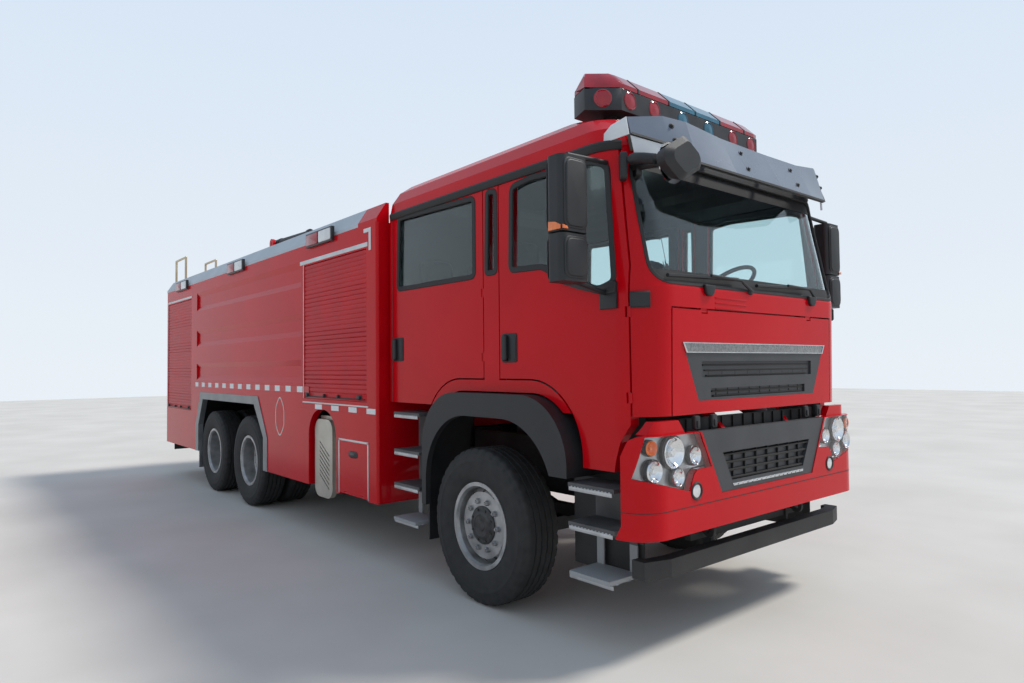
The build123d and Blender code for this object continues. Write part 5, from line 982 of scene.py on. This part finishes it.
# rear and front ends, foot and head of the bright strips round the shutters, at the body's corner and on the locker
SHUTTER_STRIPS = (
    (-2.93, -1.49, 2.678, 2.716), (-8.20, -6.85, 2.678, 2.706), (-1.468, -1.430, 2.64, 2.800),
    (-1.560, -1.430, 2.800, 2.835), (-2.868, -1.490, 1.291, 1.304), (-2.852, -2.842, 1.335, 2.678),
    (-8.202, -8.190, 1.040, 2.678))
LOCKER_STRIPS = ((-2.062, -2.042, 0.500, 0.990), (-1.508, -1.490, 0.500, 0.990), (-2.062, -1.490, 0.976, 0.994))
FILLER = [(-3.600, 1.020), (-3.485, 0.900), (-3.365, 1.020), (-3.365, 1.215), (-3.480, 1.345), (-3.600, 1.215)]
FILLER_EDGE = [(-0.006, -0.001), (-0.006, 0.002), (0.006, 0.002), (0.006, -0.001)]
for side, side_name in SIDES:
    face = side * (BODY_HALF - 0.0005)
    white, red_squares, bright = bmesh.new(), bmesh.new(), bmesh.new()
    for k in range(TAPES):
        rear = -6.655 + TAPE_PITCH * k
        side_plate(white, rear, rear + 0.140, face, TAPE_LOW, TAPE_HIGH, side * 0.0017)
        side_plate(red_squares, rear + 0.145, rear + 0.298, face, TAPE_LOW, TAPE_HIGH, side * 0.0017)
    for rear in (-2.575, -2.215, -1.860, -1.520):
        side_plate(white, rear, rear + 0.155, face, 1.238, 1.284, side * 0.0025)
    made(f"tape_white_{side_name}", white, tape_white, "chassis")
    made(f"tape_red_{side_name}", red_squares, tape_red, "chassis")
    for rear, front, low, high in SHUTTER_STRIPS:
        side_plate(bright, rear, front, face, low, high, side * 0.006, 0.002)
    # the filler's pointed outline behind the locker
    strip(bright, [at(x, face, z) for x, z in eased(FILLER, 0.060)], FILLER_EDGE, (0, side, 0), closed=True)
    for rear, front, low, high in LOCKER_STRIPS:
        side_plate(bright, rear, front, face, low, high, side * 0.004, 0.0015)
    made(f"body_edge_strips_{side_name}", bright, edge_silver, "chassis")
    # locker handle: a dark oval dish with a flush turning pull
    middle = at(-1.775, side * (BODY_HALF - 0.001), 0.866)
    mesh = bmesh.new()
    slab(mesh, rounded(middle, FORWARD, UP, 0.170, 0.052, 0.0255, 8), (0, side * 0.005, 0), 0.002)
    made(f"locker_handle_{side_name}", mesh, tape_black, f"locker_door_{side_name}")
    mesh = bmesh.new()
    slab(mesh, rounded(middle + Vector((0, side * 0.004, 0)), FORWARD, UP, 0.090, 0.022, 0.0105, 6),
         (0, side * 0.005, 0), 0.002)
    made(f"locker_pull_{side_name}", mesh, lamp_dark, f"locker_door_{side_name}")

# Roller shutters: crowned aluminium slats in the body's red, hooked together. Each has a bottom bar with
# a lift handle at each end and two locks, all in black.
shutter_red = finish("shutter_red", ((0.44, 0.003, 0.010), (0.56, 0.004, 0.012)), 3.0, (0.3, 0.42),
                     grain=(500.0, 0.05), coat=0.1)
shutter_red.node_tree.nodes["Principled BSDF"].inputs["Specular IOR Level"].default_value = 0.15
coat("roller_shutters", shutter_red)
SLAT, SHUTTER_TOP = 0.0425, 2.661
SLAT_SECTION = ((0.0, 0.0012), (0.0042, 0.08), (0.0058, 0.3), (0.0062, 0.6), (0.0050, 0.88), (0.0, 0.965))
LOCK = [(0.016, 0.0), (0.016, 0.021), (0.012, 0.025), (0, 0.025)]


def slats(mesh, corner, along, outwards, low, top):
    """Adds one crowned slat after another, from the bottom bar to the top of the opening."""
    count = round((top - low) / SLAT)
    pitch = (top - low) / count
    for k in range(count):
        foot = low + k * pitch
        slab(mesh, [corner + outwards * out + UP * (foot + pitch * share) for out, share in SLAT_SECTION], along)


SHUTTER_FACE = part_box("roller_shutters")[1][1] - 0.001
TAIL_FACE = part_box("roller_shutters")[0][0] - AXLE + 0.001
openings = []
for side, side_name in SIDES:
    for place_name, rear, front, low in (("front", -2.83, -1.52, 1.335), ("rear", -8.18, -6.87, 1.040)):
        openings.append((f"{place_name}_{side_name}", at(rear + 0.004, side * SHUTTER_FACE, 0),
                         (front - rear - 0.008) * FORWARD, Vector((0, side, 0)), low))
openings.append(("tail", at(TAIL_FACE, -0.696, 0), 1.392 * LEFT, -FORWARD, 1.130))
for name, corner, along, outwards, low in openings:
    mesh = bmesh.new()
    slats(mesh, corner, along, outwards, low + 0.064, SHUTTER_TOP)
    bar = corner + UP * (low + 0.003)
    slab(mesh, [bar, bar + UP * 0.056, bar + UP * 0.056 + outwards * 0.008, bar + outwards * 0.008], along, 0.002)
    made(f"shutter_slats_{name}", mesh, shutter_red, "chassis", soften=50)
    mesh = bmesh.new()
    unit, wide = along.normalized(), along.length
    for share in (0.055, 0.36, 0.59, 0.90):
        ends = share in (0.055, 0.90)
        foot = corner + unit * (wide * share) + UP * (low + 0.036)
        slab(mesh, rounded(foot, unit, UP, 0.100 if ends else 0.055, 0.046 if ends else 0.026, 0.010),
             outwards * 0.014, 0.004)
        turned(mesh, LOCK, foot + unit * (0.018 if ends else 0.0) + outwards * 0.004, outwards, 18)
    rail = corner + UP * (low + 0.022) + outwards * 0.014
    rod(mesh, [rail + unit * 0.03, rail + unit * (wide - 0.03)], 0.0055)
    made(f"shutter_locks_{name}", mesh, black_plastic, "chassis")

# Marker and tail lamps: coloured plastic lenses, clipped into the black housings on the top rails and at
# the tail. The housings are the CAD pieces.
lens_clear = finish("lens_clear", ((0.60, 0.61, 0.62), (0.74, 0.75, 0.76)), 10.0, (0.08, 0.16), coat=0.8,
                    grain=(160.0, 0.1))
for side, side_name in SIDES:
    lenses = {"red": (bmesh.new(), lens_red), "clear": (bmesh.new(), lens_clear), "amber": (bmesh.new(), amber)}
    for middle in (-2.43, -4.88, -7.33):
        for offset, tint in ((-0.142, "red"), (0.142, "clear")):
            slab(lenses[tint][0], rounded(at(middle + offset, side * 1.281, 2.893), FORWARD, UP, 0.262, 0.108, 0.016),
                 (0, side * 0.008, 0), 0.004)
    for z, tint in ((0.62, "clear"), (0.75, "amber"), (0.88, "red")):
        slab(lenses[tint][0], rounded(at(-8.3135, side * 1.190, z), LEFT, UP, 0.078, 0.112, 0.016),
             (-0.007, 0, 0), 0.003)
    for tint, (mesh, material) in lenses.items():
        made(f"body_lamp_lens_{tint}_{side_name}", mesh, material, "chassis")

# Seats: two front seats and a bench of four places, on black moulded bases. Each place has a foam cushion,
# a back and a headrest in dark woven cloth. Cushions and backs have two sewn lines, headrests none.
seat_cloth = finish("seat_cloth", ((0.025, 0.026, 0.03), (0.05, 0.05, 0.056)), 40.0, (0.8, 0.95), grain=(900.0, 0.4))
PAD_ROWS, PAD_COLUMNS, SQUARENESS, PAD_FILL = 40, 56, 0.42, 0.6
CROWN, PULL, LINE_WIDTH, LINE_DEPTH = 0.16, 0.028, 0.09, 0.012


def bent(value):
    """A sine or cosine, bent so that a ball becomes a rounded block."""
    return math.copysign(abs(value) ** SQUARENESS, value)


def pad(name, centre, half, lean, lines, node):
    """A foam pad: a crowned closed form with pulled-in sides and sewn lines across it."""
    mesh = bmesh.new()
    tilt = Matrix.Rotation(math.radians(lean), 3, "Y")
    rings = []
    for row in range(PAD_ROWS + 1):
        latitude = math.pi * (row / PAD_ROWS - 0.5)
        ring = []
        for column in range(PAD_COLUMNS):
            longitude = 2 * math.pi * column / PAD_COLUMNS
            flat = bent(math.cos(latitude))
            x = half[0] * flat * bent(math.cos(longitude))
            y = half[1] * flat * bent(math.sin(longitude))
            z = half[2] * bent(math.sin(latitude))
            # the face crowns towards its middle, and the sides pull in between the corners
            crown = (1 - (x / half[0]) ** 2) * (1 - (y / half[1]) ** 2)
            z += math.copysign(CROWN * half[2] * crown, z) * abs(z / half[2])
            pull = 1 - PULL * (1 - abs(z / half[2]))
            point = Vector((x * pull, y * pull, z))
            for line in lines:
                gap = abs(y / half[1] - line)
                if gap < LINE_WIDTH and z > 0:
                    point.z -= LINE_DEPTH * (1 - gap / LINE_WIDTH) ** 2 * min(1.0, z / half[2] * 1.4)
            ring.append(mesh.verts.new(Vector(centre) + tilt @ point))
        rings.append(ring)
    skinned(mesh, rings)
    bmesh.ops.remove_doubles(mesh, verts=mesh.verts, dist=1e-5)
    piece = made(name, mesh, seat_cloth, "cab", soften=80)
    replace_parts(piece, node)


BENCH_WIDTH, BENCH_FIRST = 0.5125, -0.769
places = [("front_seats", "front_seat_right", 0.020, 0.500, -0.78, 0.50),
          ("front_seats", "front_seat_left", 0.020, 0.500, 0.78, 0.50)]
for number in range(4):
    places.append(("crew_bench", f"bench_place_{number + 1}", -1.130, -0.690, BENCH_FIRST + BENCH_WIDTH * number,
                   BENCH_WIDTH))
bases = bmesh.new()
for node, name, rear, front, y, width in places:
    deep = front - rear
    pad(name + "_cushion", at(rear + 0.045 + (deep - 0.05) / 2, y, 1.600),
        ((deep - 0.06) / 2, width / 2 - 0.008, 0.066), -3.0, (-0.5, 0.5), node)
    pad(name + "_back", at(rear + 0.030, y, 2.010), (0.340, width / 2 - 0.012, 0.058), 83.0, (-0.55, 0.55), node)
    pad(name + "_headrest", at(rear - 0.020, y, 2.448), (0.098, width / 2 - 0.10, 0.048), 83.0, (), node)
    for beside in (-0.07, 0.07):
        rod(bases, [at(rear - 0.005, y + beside, 2.30), at(rear - 0.014, y + beside, 2.40)], 0.007)
    slab(bases, [at(x, y - width / 2 + 0.03, z) for x, z in
                 ((rear + 0.050, 1.392), (front - 0.080, 1.392), (front - 0.040, 1.560), (rear + 0.040, 1.560))],
         (0, width - 0.06, 0), 0.012, 3)
made("seat_bases", bases, black_plastic, "cab")
